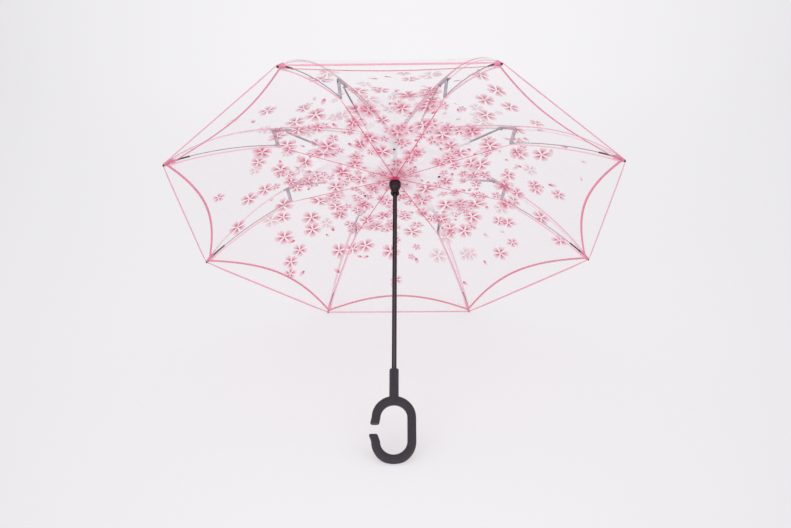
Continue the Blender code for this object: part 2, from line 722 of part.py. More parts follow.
def lower_bar():
    """Straight channel from the runner to the lug, with its rivet's head and stub."""
    pin = lug_pin()
    side, half = LOWER_BAR_SIDE, LOWER_BAR_WIDTH / 2
    line = [Vector(RUNNER_PIN), pin]
    bar = plate("lower_bar", ribbon(line, LOWER_BAR_HALF_HEIGHT), side - half, side + half)
    total = length_of(line)
    inside = [along(line, EYE_PLAIN_LENGTH / total), along(line, 1 - EYE_PLAIN_LENGTH / total)]
    channel = channel_cutter("channel", inside, LOWER_BAR_HALF_HEIGHT, side, LOWER_BAR_WIDTH)
    bar = cut(bar, channel, eye_hole(RUNNER_PIN, side, LOWER_BAR_WIDTH, LOWER_EYE_HOLE))
    rivet = side_rod("rivet", pin, side - half / 2, -EYE_SLOT_HALF, RIVET_RADIUS / 2)
    head = side_rod("head", pin, side - half - RIVET_HEAD, side, RIVET_RADIUS)
    return joined(bar, head, rivet)


def outer_rod_line():
    """The outer rod's line: beside the rib's plane where the bar folds past, in it at the tip."""
    flat = bowed(KNEE, ROD_END, OUTER_ROD_BOW, ROD_STEPS)
    reach = ROD_END[0] - KNEE[0]
    shares = [min(1.0, (ROD_END[0] - x) / reach / (1 - ROD_LANE_SHARE)) for x, z in flat]
    return [Vector((x, SOCKET_SIDE * share, z)) for (x, z), share in zip(flat, shares)]


def lower_rod_line():
    return [Vector((x, 0.0, z)) for x, z in bowed(POST_FOOT, LOWER_ROD_END, LOWER_ROD_BOW, ROD_STEPS)]


def clipped(points, from_start, from_end):
    """The line with a length taken off each end."""
    steps = [points[0] + (points[1] - points[0]).normalized() * from_start]
    steps += points[1:-1]
    steps += [points[-1] + (points[-2] - points[-1]).normalized() * from_end]
    return steps


def outer_rod():
    line = clipped(outer_rod_line(), SOCKET_FLOOR + CLEARANCE, TIP_CAP_WALL + CLEARANCE)
    return tube("outer_rod", line, ROD_RADIUS)


def lower_rod():
    return tube("lower_rod", clipped(lower_rod_line(), SOCKET_FLOOR + CLEARANCE, CLEARANCE), ROD_RADIUS)


def socket(name, points, start, length):
    """A round socket along the first stretch of a rod's line."""
    ahead = (points[1] - points[0]).normalized()
    return rod(name, points[0] + ahead * start, points[0] + ahead * length, SOCKET_RADIUS, TIP_SIDES)


def bore(points, start, length):
    """The hole for a rod along the first stretch of its line."""
    ahead = (points[1] - points[0]).normalized()
    radius = ROD_RADIUS + CLEARANCE
    return rod("bore", points[0] + ahead * start, points[0] + ahead * length, radius, TIP_SIDES)


def knee_link():
    """Knee rivet, the post's two cheeks and web, and the sockets of both rods."""
    knee, foot = Vector(KNEE), Vector(POST_FOOT)
    low, high = -EYE_SLOT_HALF - KNEE_HEAD_WALL, EYE_SLOT_HALF + CHEEK_WALL
    down = (foot - knee).normalized()
    link = plate("knee_link", ribbon([knee, foot], KNEE_RADIUS), low, high)
    outward = Vector((-down.y, down.x))
    web_side = outward * (KNEE_RADIUS - POST_WEB)
    far_side = outward * (-KNEE_RADIUS - OVERRUN)
    open_end = knee + down * POST_OPEN_LENGTH
    top = knee - down * (KNEE_RADIUS + OVERRUN)
    foot_end = foot - down * POST_FOOT_RADIUS
    beyond = outward * (KNEE_RADIUS + OVERRUN)
    slot = [top + beyond, top + far_side, foot_end + far_side]
    slot += [foot_end + web_side, open_end + web_side, open_end + beyond]
    outer, lower = outer_rod_line(), lower_rod_line()
    link = joined(link, socket("outer_socket", outer, -KNEE_RADIUS / 2, SOCKET_DEPTH))
    link = cut(link, plate("slot", slot[::-1], -EYE_SLOT_HALF, EYE_SLOT_HALF))
    link = joined(link, socket("lower_socket", lower, -POST_FOOT_RADIUS / 2, SOCKET_DEPTH))
    for line in (outer, lower):
        link = cut(link, bore(line, SOCKET_FLOOR, SOCKET_DEPTH + OVERRUN))
    inset = KNEE_HEAD_WALL / 2
    return joined(link, side_rod("pin", knee, low + inset, high - inset, KNEE_PIN_RADIUS))


def rib_tip():
    """Moulded tip: a sleeve on the outer rod, a brace socket for the lower rod and a nose."""
    outer, lower = outer_rod_line()[::-1], lower_rod_line()[::-1]
    back = (outer[1] - outer[0]).normalized()
    nose_end = outer[0] - back * TIP_NOSE_LENGTH
    sleeve = tube(
        "rib_tip", [outer[0] + back * TIP_SLEEVE_LENGTH, outer[0], nose_end], SOCKET_RADIUS,
        TIP_NOSE_RADIUS / SOCKET_RADIUS,
    )
    brace_back = (lower[1] - lower[0]).normalized()
    meet = outer[0] + back * SOCKET_DEPTH
    brace = tube("brace", [lower[0] + brace_back * TIP_BRACE_LENGTH, lower[0], meet], BRACE_RADIUS)
    return cut(
        joined(sleeve, brace),
        bore(outer, TIP_CAP_WALL, TIP_SLEEVE_LENGTH + TIP_BRACE_LENGTH),
        bore(lower, 0.0, TIP_BRACE_LENGTH + OVERRUN),
    )


# Canopies

def between_rows(profile, row):
    """A place on the profile, counted in rows from its start."""
    whole = min(int(row), len(profile) - 2)
    return profile[whole].lerp(profile[whole + 1], row - whole)


def film(name, profile, scallop_share, sag_share):
    """A canopy as an open surface: the rib's profile carried round, drawn in between ribs."""
    rows = len(profile) - 1
    shape = bmesh.new()
    grid = []
    for column in range(RIB_COUNT * FILM_COLUMNS):
        rib, part = divmod(column, FILM_COLUMNS)
        across = part / FILM_COLUMNS
        hollow = 4 * across * (1 - across)
        line = []
        for row in range(rows + 1):
            share = row / rows
            place = between_rows(profile, row * (1 - scallop_share * hollow))
            first, second = rib_angle(rib), rib_angle(rib + 1)
            start = Vector((place.x * math.cos(first), place.x * math.sin(first), place.y))
            end = Vector((place.x * math.cos(second), place.x * math.sin(second), place.y))
            point = start.lerp(end, across)
            point.z -= (end - start).length * sag_share * hollow * 4 * share * (1 - share)
            line.append(shape.verts.new(point))
        grid.append(line)
    for column, line in enumerate(grid):
        following = grid[(column + 1) % len(grid)]
        for row in range(rows):
            shape.faces.new((line[row], line[row + 1], following[row + 1], following[row]))
    mesh = bpy.data.meshes.new(name)
    shape.to_mesh(mesh)
    shape.free()
    sheet = draft(name, mesh)
    wall = sheet.modifiers.new("Film", "SOLIDIFY")
    wall.thickness = FILM
    wall.offset = 0.0
    return settled(sheet)


def even_profile(stretches):
    """One line through stretches of points, each stretch given with its number of rows."""
    points = []
    for line, rows in stretches:
        points += [along(line, i / rows) for i in range(rows)]
    return points + [Vector(stretches[-1][0][-1])]


def outer_canopy():
    """The upper film: a dome over the bars and rods, with a straight-edged octagon hem."""
    collar = [OUTER_FILM_CENTRE, OUTER_FILM_COLLAR]
    inside = bowed(OUTER_FILM_COLLAR, OUTER_FILM_KNEE, OUTER_FILM_BOW, 3 * FILM_ROWS_INSIDE)
    outside = bowed(OUTER_FILM_KNEE, OUTER_CORNER, OUTER_FILM_EDGE_BOW, 3 * FILM_ROWS_OUTSIDE)
    profile = even_profile([(collar, 1), (inside, FILM_ROWS_INSIDE), (outside, FILM_ROWS_OUTSIDE)])
    return film("outer_canopy", profile, 0.0, PANEL_SAG_SHARE)


def inner_canopy():
    """The lower film: gathered round the runner, near flat to the posts' feet, then down to the tips."""
    collar = [INNER_FILM_FOOT, INNER_FILM_CENTRE]
    inside = [INNER_FILM_CENTRE, INNER_FILM_KNEE]
    outside = bowed(INNER_FILM_KNEE, INNER_CORNER, INNER_FILM_EDGE_BOW, 3 * FILM_ROWS_OUTSIDE)
    profile = even_profile([(collar, 1), (inside, FILM_ROWS_INSIDE), (outside, FILM_ROWS_OUTSIDE)])
    return film("inner_canopy", profile, INNER_SCALLOP_SHARE, 0.0)


# Assembly

def rib_angle(index):
    return math.radians(FIRST_RIB_DEG) + 2 * math.pi * index / RIB_COUNT


def empty(name, parent, place, collection, turn=0.0):
    """An empty at a hinge, at a place in the model's frame or in the rib's."""
    made = bpy.data.objects.new(name, None)
    made.empty_display_size = SHAFT_RADIUS
    collection.objects.link(made)
    made.parent = parent
    made.location = place
    made.rotation_euler = (0.0, 0.0, turn)
    return made


def shaded(mesh):
    mesh.shade_smooth()
    mesh.set_sharp_from_angle(angle=math.radians(35))


def finished(thing, finish, collection, origin=(0.0, 0.0, 0.0), parent=None):
    """Puts a central piece in the umbrella's collection, with its origin where it turns or slides."""
    mesh = thing.data
    name = thing.name
    mesh.transform(Matrix.Translation(-Vector(origin)))
    bpy.data.objects.remove(thing, do_unlink=True)
    return placed(name, mesh, finish, collection, origin if parent is None else (0.0, 0.0, 0.0), parent)


def placed(name, mesh, finish, collection, location, parent):
    made = bpy.data.objects.new(name, mesh)
    collection.objects.link(made)
    made.parent = parent
    made.location = location
    mesh.materials.clear()
    mesh.materials.append(finish)
    shaded(mesh)
    return made


def rib_mesh(thing, origin):
    """A rib piece's mesh about its hinge."""
    mesh = thing.data
    mesh.transform(Matrix.Translation((-origin[0], 0.0, -origin[1])))
    bpy.data.objects.remove(thing, do_unlink=True)
    return mesh


def ribs(collection, runner_frame, finishes):
    """All ribs: each has its upper bar, knee link, two rods and tip, and its lower bar."""
    bar_mesh = rib_mesh(upper_bar(), NOTCH_PIN)
    lower_mesh = rib_mesh(lower_bar(), RUNNER_PIN)
    outer_pieces = [
        ("knee_link", rib_mesh(knee_link(), KNEE), finishes["link"]),
        ("outer_rod", rib_mesh(outer_rod(), KNEE), finishes["fibre"]),
        ("lower_rod", rib_mesh(lower_rod(), KNEE), finishes["fibre"]),
        ("rib_tip", rib_mesh(rib_tip(), KNEE), finishes["moulding"]),
    ]
    for i in range(RIB_COUNT):
        number = i + 1
        frame = empty(f"rib_frame_{number}", None, (0.0, 0.0, 0.0), collection, rib_angle(i))
        top = empty(f"upper_hinge_{number}", frame, (NOTCH_PIN[0], 0.0, NOTCH_PIN[1]), collection)
        knee = empty(
            f"knee_hinge_{number}", top, (KNEE[0] - NOTCH_PIN[0], 0.0, KNEE[1] - NOTCH_PIN[1]), collection
        )
        slide = empty(f"runner_side_{number}", runner_frame, (0.0, 0.0, 0.0), collection, rib_angle(i))
        low = empty(f"lower_hinge_{number}", slide, (RUNNER_PIN[0], 0.0, 0.0), collection)
        at_hinge = (0.0, 0.0, 0.0)
        placed(f"upper_bar_{number}", bar_mesh, finishes["steel"], collection, at_hinge, top)
        placed(f"lower_bar_{number}", lower_mesh, finishes["steel"], collection, at_hinge, low)
        for name, mesh, finish in outer_pieces:
            placed(f"{name}_{number}", mesh, finish, collection, at_hinge, knee)


def main():
    for thing in list(bpy.data.objects):
        bpy.data.objects.remove(thing, do_unlink=True)
    collection = bpy.data.collections.new("Reverse umbrella")
    bpy.context.scene.collection.children.link(collection)
    finishes = {
        "grip": material("Soft grip", (0.055, 0.050, 0.060), 0.55),
        "gloss": material("Black gloss", (0.012, 0.011, 0.012), 0.18),
        "steel": material("Black steel", (0.06, 0.06, 0.065), 0.35, metallic=0.6),
        "link": material("Grey link", (0.17, 0.165, 0.18), 0.45),
        "fibre": material("Grey fibre", (0.30, 0.30, 0.31), 0.4),
        "moulding": material("Black moulding", (0.03, 0.03, 0.032), 0.4),
        "wire": material("Steel wire", (0.5, 0.5, 0.52), 0.25, metallic=1.0),
        "clear": material("Clear film", (0.93, 0.90, 0.92), 0.1, alpha=0.35),
    }
    finished(handle(), finishes["grip"], collection)
    finished(shaft(), finishes["gloss"], collection)
    finished(top_notch(), finishes["moulding"], collection)
    finished(
        ring("notch_wire", NOTCH_PIN_RADIUS, NOTCH_PIN_HEIGHT, WIRE_RADIUS, WIRE_STEPS),
        finishes["wire"], collection,
    )
    finished(top_cap(), finishes["moulding"], collection)
    finished(stop_pin(), finishes["wire"], collection)
    finished(
        catch("upper_catch", UPPER_CATCH_PIN_HEIGHT, 1), finishes["wire"], collection,
        origin=(0.0, 0.0, UPPER_CATCH_PIN_HEIGHT),
    )
    finished(
        catch("lower_catch", LOWER_CATCH_PIN_HEIGHT, -1), finishes["wire"], collection,
        origin=(0.0, 0.0, LOWER_CATCH_PIN_HEIGHT),
    )
    runner_place = (0.0, 0.0, RUNNER_PIN_HEIGHT)
    runner_frame = empty("runner_frame", None, runner_place, collection)
    finished(runner(), finishes["gloss"], collection, origin=runner_place, parent=runner_frame)
    runner_ring = wire_radius_at(RUNNER_PIN_RADIUS, LOWER_BAR_SIDE)
    finished(
        ring("runner_wire", runner_ring, RUNNER_PIN_HEIGHT, WIRE_RADIUS, WIRE_STEPS),
        finishes["wire"], collection, origin=runner_place, parent=runner_frame,
    )
    finished(outer_canopy(), finishes["clear"], collection)
    finished(inner_canopy(), finishes["clear"], collection)
    ribs(collection, runner_frame, finishes)


main()
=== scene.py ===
import math

import bmesh
import bpy
from mathutils import Matrix, Vector


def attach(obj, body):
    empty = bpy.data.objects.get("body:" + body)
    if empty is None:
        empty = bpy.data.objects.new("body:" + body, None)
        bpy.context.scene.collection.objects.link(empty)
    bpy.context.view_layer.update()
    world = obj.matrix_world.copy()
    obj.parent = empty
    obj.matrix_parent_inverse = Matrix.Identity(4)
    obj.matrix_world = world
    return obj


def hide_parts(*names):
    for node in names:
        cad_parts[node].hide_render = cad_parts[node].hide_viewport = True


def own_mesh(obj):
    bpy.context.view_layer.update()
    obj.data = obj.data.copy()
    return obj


bl_info = {
    "name": "Reverse umbrella",
    "version": (1, 0, 0),
    "blender": (4, 5, 0),
    "location": "3D View > Sidebar > Umbrella",
    "description": "Dresses the frame of a reverse umbrella with its grip, clear canopies and eyelets",
    "category": "Object",
}

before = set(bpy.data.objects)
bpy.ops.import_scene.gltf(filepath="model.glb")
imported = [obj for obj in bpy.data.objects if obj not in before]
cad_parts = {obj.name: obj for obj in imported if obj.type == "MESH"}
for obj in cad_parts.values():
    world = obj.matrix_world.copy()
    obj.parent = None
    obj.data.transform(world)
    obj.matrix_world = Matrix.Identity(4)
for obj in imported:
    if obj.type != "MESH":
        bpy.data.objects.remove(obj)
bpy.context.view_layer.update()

MM = 0.001
RIB_COUNT = 8
FIRST_RIB = math.radians(22.5)
RIB_PITCH = 2 * math.pi / RIB_COUNT

# The rib's plane, as (distance from the shaft, height)
KNEE = (297.0 * MM, 733.0 * MM)
OUTER_CENTRE = (6.2 * MM, 801.1 * MM)
OUTER_COLLAR = (16.0 * MM, 801.1 * MM)
OUTER_KNEE = (299.0 * MM, 738.9 * MM)
OUTER_CORNER = (520.0 * MM, 574.5 * MM)
INNER_FOOT = (10.6 * MM, 670.5 * MM)
INNER_CENTRE = (10.6 * MM, 680.4 * MM)
INNER_KNEE = (284.5 * MM, 691.4 * MM)
INNER_CORNER = (512.5 * MM, 573.0 * MM)
OUTER_BOW = 14.5 * MM
OUTER_EDGE_BOW = 21.5 * MM
INNER_EDGE_BOW = 9.0 * MM
LINE_STEPS = 60

# The rows of film of each stretch: over the collar, to the knee and to the corner
FILM_ROWS = (1, 4, 6)
KNEE_ROW = FILM_ROWS[0] + FILM_ROWS[1]
CORNER_ROW = KNEE_ROW + FILM_ROWS[2]
PANEL_COLUMNS = 12

# The slots of a sheet's materials
FILM_SLOT, TAPE_SLOT, HEM_SLOT = range(3)

# The print's map is this much smaller than the film, and the hems lie on it at one distance
MAP_SHARE = 0.94
HEM_MAP_REACH = 0.56

# The seam tape takes no more than this share of a half panel, and its narrow width near the shaft
TAPE_LIMIT = 0.35
NARROW_TAPE = 1.2 * MM

# The outer hem hangs at this angle below the level
HEM_HANG = math.radians(85)

# At the rib a hanging hem has this share of its width, and all of it from this share of the panel on
HEM_AT_RIB = 0.45
HEM_FULL_FROM = 0.3

# A hem's section: 0 at its inner edge or 1 at its outer one, and how far out and up in mm
HEM_SECTION = ((0, 0.0, 0.45), (0, 0.0, -0.45), (1, 0.2, -0.45), (1, 0.5, 0.0), (1, 0.2, 0.45))

# The pale sleeves on the bars end at these distances from the shaft
SLEEVE_REACH = 258.0 * MM
LOWER_SLEEVE_REACH = 190.0 * MM

# Each eyelet: the rib before its panel, and its distance from the shaft
EYELETS = ((5, 104.0 * MM), (7, 104.0 * MM), (2, 106.0 * MM), (1, 163.0 * MM))

# The umbrella leans on its grip and two tips
FLOOR_UP = (0.0, -0.765, 0.644)
FLOOR_SIZE = 240.0
# The floor's colour is painted down to this share where its painted pool of light fades out
FLOOR_DIM = 0.80
FLOOR_GLOW = 0.55
LAMPS_BEFORE = 1.3
WHITE = (1.0, 1.0, 1.0, 1.0)

# What shines on a glossy face is a dimmer room than the sky
ROOM_SHARE = 0.45
LAMP_SIZE = 1.8
LAMP_AIM = (0.0, 0.1, 0.5)
KEY_PLACE = (-1.3, -2.3, -0.65)
FILL_PLACE = (1.6, -2.1, -0.5)

# The photo's camera: its place, its pitch, yaw and roll in degrees, and its lens
CAMERA_PLACE = (0.0352, -1.4961, -0.4351)
CAMERA_TURN = (30.496, 1.275, 0.25)
FOCAL_PIXELS = 785.9
PHOTO_WIDTH = 791
SENSOR_WIDTH = 36.0

# The grip: its square section's power, the soft edges of its ends and neck, and its steps round a bend
SECTION_POWER = 3.2
END_EDGE = 1.6 * MM
NECK_EDGE = 2.2 * MM
BEND_STEPS = 24

# The outer rod's end, and the pocket of film that holds it
ROD_END = (517.5 * MM, 572.0 * MM)
OUTER_ROD_BOW = 22.0 * MM
POCKET_LENGTH = 25.0 * MM
POCKET_RADIUS = 2.5 * MM
POCKET_WALL = 0.35 * MM
POCKET_FLARE = (2.15, 1.35, 1.0)
POCKET_SHIFT = (-2.4 * MM, 0.3 * MM, 0.0)


# Plain lines and curves

def bowed(start, end, bow, steps):
    """Points on the circular arc from start to end that rises by bow above its chord."""
    run = Vector(end) - Vector(start)
    half = run.length / 2
    radius = (half * half + bow * bow) / (2 * bow)
    across = Vector((-run.y, run.x)).normalized()
    centre = Vector(start) + run / 2 - across * (radius - bow)
    first = math.atan2(start[1] - centre.y, start[0] - centre.x)
    last = math.atan2(end[1] - centre.y, end[0] - centre.x)
    turn = (last - first) / steps
    angles = [first + turn * i for i in range(steps + 1)]
    return [centre + Vector((math.cos(angle), math.sin(angle))) * radius for angle in angles]


def place_on(points, share):
    """The place at a share of a line's length."""
    lengths = [(b - a).length for a, b in zip(points, points[1:])]
    left = share * sum(lengths)
    for a, b, length in zip(points, points[1:], lengths):
        if left <= length:
            return a.lerp(b, left / length)
        left -= length
    return points[-1].copy()


def smooth(value):
    value = min(1.0, max(0.0, value))
    return value * value * (3 - 2 * value)


def rib_angle(index):
    return FIRST_RIB + RIB_PITCH * index


def polar(angle, reach):
    return reach * math.cos(angle), reach * math.sin(angle)


# Shader nodes

def is_socket(value):
    return isinstance(value, bpy.types.NodeSocket)


def feed(sockets, values):
    """Gives each named or numbered socket its value, or its link where the value is a socket."""
    for key, value in values.items():
        if is_socket(value):
            value.id_data.links.new(value, sockets[key])
        else:
            sockets[key].default_value = value


def node(tree, kind, *first, **others):
    """A node with its first inputs in order, and its settings and other inputs by name."""
    made = tree.nodes.new("ShaderNode" + kind)
    for key in [key for key in others if hasattr(made, key)]:
        setattr(made, key, others.pop(key))
    feed(made.inputs, {**dict(enumerate(first)), **others})
    return made


def beside(terms, kind, **values):
    """A node in the tree of the sockets among its first inputs."""
    tree = next(term.id_data for term in terms if is_socket(term))
    return node(tree, kind, *terms, **values)


def arithmetic(operation, *terms, clamp=False):
    return beside(terms, "Math", operation=operation, use_clamp=clamp).outputs[0]


def times(first, second):
    return arithmetic("MULTIPLY", first, second)


def vectors(operation, *terms, **others):
    made = beside(terms, "VectorMath", operation=operation, **others)
    return made.outputs["Value" if operation == "LENGTH" else "Vector"]


def ramped(value, low, high, to_low=0.0, to_high=1.0, soft=True):
    kind = "SMOOTHSTEP" if soft else "LINEAR"
    made = beside((value, low, high, to_low, to_high), "MapRange", interpolation_type=kind)
    return made.outputs["Result"]


def blend(share, low, high):
    """The colour at a share of the way between two, each a plain colour or a socket."""
    made = beside([share], "Mix", data_type="RGBA")
    for key, colour in ((6, low), (7, high)):
        feed(made.inputs, {key: colour if is_socket(colour) else (*colour, 1.0)})
    return made.outputs[2]


def noise(place, scale, detail=2.0):
    return beside([place], "TexNoise", Scale=scale, Detail=detail).outputs["Fac"]


def bumped(height, strength, distance):
    made = node(height.id_data, "Bump", Strength=strength, Distance=distance, Height=height)
    return made.outputs["Normal"]


def edged(tree, flat, edge):
    """How much a film hides: flat where it faces the viewer, and more by edge at a slant."""
    facing = node(tree, "LayerWeight").outputs["Facing"]
    return arithmetic("ADD", flat, times(facing, edge), clamp=True)


def object_place(tree):
    return node(tree, "TexCoord").outputs["Object"]


def film_place(tree):
    return node(tree, "UVMap", uv_map="Film").outputs["UV"]


def grouped(tree, name, values):
    """The outputs of a shader group, with its inputs' values by name."""
    return node(tree, "Group", node_tree=bpy.data.node_groups[name], **values).outputs


def socket_group(name, inputs, outputs):
    """An empty shader group, its inputs to read and its outputs to feed.

    inputs gives each input's default, where None or three numbers make a vector. The outputs
    are plain numbers.
    """
    tree = bpy.data.node_groups.new(name, "ShaderNodeTree")
    for label, default in inputs.items():
        kind = "NodeSocketFloat" if isinstance(default, float) else "NodeSocketVector"
        made = tree.interface.new_socket(label, in_out="INPUT", socket_type=kind)
        if default is not None:
            made.default_value = default
    for label in outputs:
        tree.interface.new_socket(label, in_out="OUTPUT", socket_type="NodeSocketFloat")
    return tree, tree.nodes.new("NodeGroupInput").outputs, tree.nodes.new("NodeGroupOutput").inputs


def new_material(name):
    made = bpy.data.materials.new(name)
    made.use_nodes = True
    return made, made.node_tree, made.node_tree.nodes["Principled BSDF"]


def prepared(name, build):
    """A node group by name, built once."""
    return bpy.data.node_groups.get(name) or build()


# Moulded and painted finishes

# A lacquer's painted sheen: its colour, painted lighter where it faces the viewer, turns to a painted dark
# rim between these two values of Layer Weight's Facing, and its specular level is turned down
PAINTED_SHEEN_FACING = (0.03, 0.36)
PAINTED_SHEEN_SPECULAR = 0.12


def grain_group():
    """Fine speckle and slow blotches, as a height and a small change of roughness."""
    tree, start, end = socket_group(
        "Moulded grain",
        {
            "Vector": None, "Grain size": 0.4 * MM, "Blotch size": 12 * MM, "Roughness": 0.5,
            "Roughness spread": 0.1,
        },
        ("Height", "Roughness", "Blotch"),
    )
    fine, slow = (
        noise(start["Vector"], arithmetic("DIVIDE", 1.0, start[size]), detail)
        for size, detail in (("Grain size", 3.0), ("Blotch size", 2.0))
    )
    spread = times(ramped(slow, 0.3, 0.7, -1.0, 1.0), start["Roughness spread"])
    feed(end, {
        "Height": fine, "Blotch": ramped(slow, 0.3, 0.7),
        "Roughness": arithmetic("ADD", start["Roughness"], spread, clamp=True),
    })
    return tree


def plain_finish(
    name, colour, dark, roughness, spread=0.08, grain=0.4 * MM, depth=0.02 * MM, metallic=0.0, coat=0.0,
    pale=None, painted_sheen_rim=None,
):
    """A moulded or painted finish whose colour and gloss vary a little over the surface.

    pale is a second colour and the distance from the shaft within which it takes the place
    of the first. painted_sheen_rim is a painted dark rim: the colour turns to it where the surface is
    seen at a slant, so that the colour reads as a painted sheen where it faces the viewer.
    """
    made, tree, shader = new_material(name)
    place = object_place(tree)
    grained = grouped(tree, "Moulded grain", {
        "Vector": place, "Grain size": grain, "Roughness": roughness, "Roughness spread": spread,
    })
    painted = blend(grained["Blotch"], dark, colour)
    if pale:
        away = vectors("LENGTH", vectors("MULTIPLY", place, (1.0, 1.0, 0.0)))
        painted = blend(ramped(away, pale[1] - MM, pale[1]), pale[0], painted)
    # Painted sheen and painted shade: the colour turns to a dark rim where the surface is seen at a slant,
    # and the real reflection is turned down
    if painted_sheen_rim:
        facing = node(tree, "LayerWeight").outputs["Facing"]
        painted = blend(ramped(facing, *PAINTED_SHEEN_FACING), painted, painted_sheen_rim)
        shader.inputs["Specular IOR Level"].default_value = PAINTED_SHEEN_SPECULAR
    feed(shader.inputs, {
        "Base Color": painted, "Roughness": grained["Roughness"], "Metallic": metallic, "Coat Weight": coat,
        "Normal": bumped(grained["Height"], 0.6, depth),
    })
    return made


# The printed pattern

# The cells' disorder, their smallest and largest shares of the reach, and how far one may pass its room
CELL_DISORDER = 0.85
CELL_SIZES = (0.7, 1.15)
CELL_OVERLAP = 1.3

# A petal's half width, as a share of its sector, at shares of the blossom's radius
PETAL_WIDTHS = (
    (0.0, 0.0), (0.07, 0.12), (0.18, 0.42), (0.34, 0.6), (0.62, 0.78), (0.82, 0.7), (0.93, 0.44), (1.0, 0.0),
)

# Each layer: its group, shift, cells per metre, reach in mm, share kept, and the distances in metres
# from the shaft within which it is full and beyond which there is none
PRINT_LAYERS = (
    ("Scattered petals", (9.9, 1.7), 34.0, 10.0, 0.7, 0.12, 0.34),
    ("Scattered blossoms", (2.7, 7.9), 24.0, 16.0, 0.85, 0.12, 0.33),
    ("Scattered blossoms", (5.1, 2.2), 18.0, 21.0, 0.85, 0.16, 0.37),
    ("Scattered petals", (6.4, 5.5), 16.0, 12.0, 0.30, 0.43, 0.48),
    ("Scattered blossoms", (1.3, 0.4), 15.0, 26.0, 0.92, 0.22, 0.43),
    ("Scattered blossoms", (4.2, 9.6), 12.0, 24.0, 0.55, 0.42, 0.47),
)

# The print's strength, density and shift, and its ground, on each canopy
OUTER_PRINT = (0.5, 0.3, (3.0, 17.0), 0.25)
INNER_PRINT = (1.0, 1.0, (47.0, 13.0), 0.82)

# How much of the film's clearness full ink takes away, and how deep the gathers' pink is
INK_COVER = 0.96
GATHER_DEPTH = 0.55


def cell_group_start(name):
    """A scattered pattern's group: its random cells, each turned and sized at random."""
    tree, start, end = socket_group(
        name,
        {
            "Vector": None, "Salt": (0.0, 0.0, 0.0), "Cells per metre": 20.0, "Reach": 18 * MM,
            "Share kept": 1.0, "Full within": 0.15, "None beyond": 0.42,
        },
        ("Cover", "Depth"),
    )
    moved = vectors("ADD", start["Vector"], start["Salt"])
    cells, room = (
        node(
            tree, "TexVoronoi", voronoi_dimensions="2D", feature=feature, Randomness=CELL_DISORDER,
            Vector=moved, Scale=start["Cells per metre"],
        ).outputs
        for feature in ("F1", "N_SPHERE_RADIUS")
    )
    local = vectors("SUBTRACT", moved, cells["Position"])
    chance = node(tree, "SeparateColor", cells["Color"]).outputs
    angle = times(chance[0], 2 * math.pi)
    turned = node(tree, "VectorRotate", rotation_type="Z_AXIS", Vector=local, Angle=angle).outputs[0]
    wanted = times(start["Reach"], ramped(chance[1], 0.0, 1.0, *CELL_SIZES, soft=False))
    free = arithmetic("DIVIDE", room["Radius"], start["Cells per metre"])
    sized = arithmetic("MINIMUM", wanted, times(free, CELL_OVERLAP))
    scaled = vectors("SCALE", turned, Scale=arithmetic("DIVIDE", 1.0, sized))
    away = vectors("LENGTH", vectors("SUBTRACT", cells["Position"], start["Salt"]))
    fade = ramped(away, start["Full within"], start["None beyond"], 1.0, 0.0)
    kept = arithmetic("LESS_THAN", chance[2], times(fade, start["Share kept"]))
    return tree, end, scaled, kept


def blossom_group():
    """Scattered blossoms of five petals: how far they cover, and how deep their pink is."""
    tree, end, local, kept = cell_group_start("Scattered blossoms")
    x, y, _ = node(tree, "SeparateXYZ", local).outputs
    out = vectors("LENGTH", local)
    fifths = times(arithmetic("ARCTAN2", y, x), 5 / (2 * math.pi))
    offset = arithmetic("SUBTRACT", arithmetic("FRACT", fifths), 0.5)
    aside = times(arithmetic("ABSOLUTE", offset), 2.0)
    notch = ramped(aside, 0.0, 0.25, 0.12, 0.0)
    width = node(tree, "ValToRGB", arithmetic("ADD", out, notch))
    ramp = width.color_ramp
    while len(ramp.elements) < len(PETAL_WIDTHS):
        ramp.elements.new(0.5)
    for element, (position, value) in zip(ramp.elements, PETAL_WIDTHS):
        element.position = position
        element.color = (value, value, value, 1.0)
    cover = ramped(arithmetic("SUBTRACT", width.outputs["Color"], aside), -0.02, 0.07)
    faded = times(cover, ramped(out, 0.3, 1.05, 1.0, 0.42))
    core = ramped(out, 0.2, 0.85, 1.0, 0.0)
    streak = ramped(aside, 0.1, 0.8, 1.0, 0.5)
    feed(end, {"Cover": times(faded, kept), "Depth": times(core, streak)})
    return tree


def petal_group():
    """Scattered single petals."""
    tree, end, local, kept = cell_group_start("Scattered petals")
    length = vectors("LENGTH", vectors("MULTIPLY", local, (1.0, 2.1, 1.0)))
    along = node(tree, "SeparateXYZ", local).outputs["X"]
    cover = ramped(length, 0.7, 1.0, 1.0, 0.0)
    faded = times(cover, ramped(along, -0.9, 0.9, 0.4, 1.0))
    feed(end, {"Cover": times(faded, kept), "Depth": ramped(along, -0.6, 0.8)})
    return tree


def print_group():
    """The whole printed pattern: scatters of blossoms and petals laid over each other."""
    tree, start, end = socket_group(
        "Blossom print", {"Vector": None, "Strength": 1.0, "Density": 1.0, "Salt": (0.0, 0.0, 0.0)},
        ("Cover", "Depth"),
    )
    cover, depth = None, None
    for group, salt, cells, reach, share, full, none in PRINT_LAYERS:
        layer = grouped(tree, group, {
            "Vector": start["Vector"], "Salt": vectors("ADD", start["Salt"], (*salt, 0.0)),
            "Cells per metre": cells, "Reach": reach * MM, "Full within": full, "None beyond": none,
            "Share kept": times(start["Density"], share),
        })
        if cover is None:
            cover, depth = layer["Cover"], layer["Depth"]
        else:
            mask = ramped(layer["Cover"], 0.02, 0.3)
            cover = laid_over(cover, layer["Cover"], mask)
            depth = laid_over(depth, layer["Depth"], mask)
    feed(end, {"Cover": times(cover, start["Strength"]), "Depth": depth})
    return tree


def laid_over(below, above, mask):
    made = beside([mask], "Mix", data_type="FLOAT")
    feed(made.inputs, {2: below, 3: above})
    return made.outputs[0]


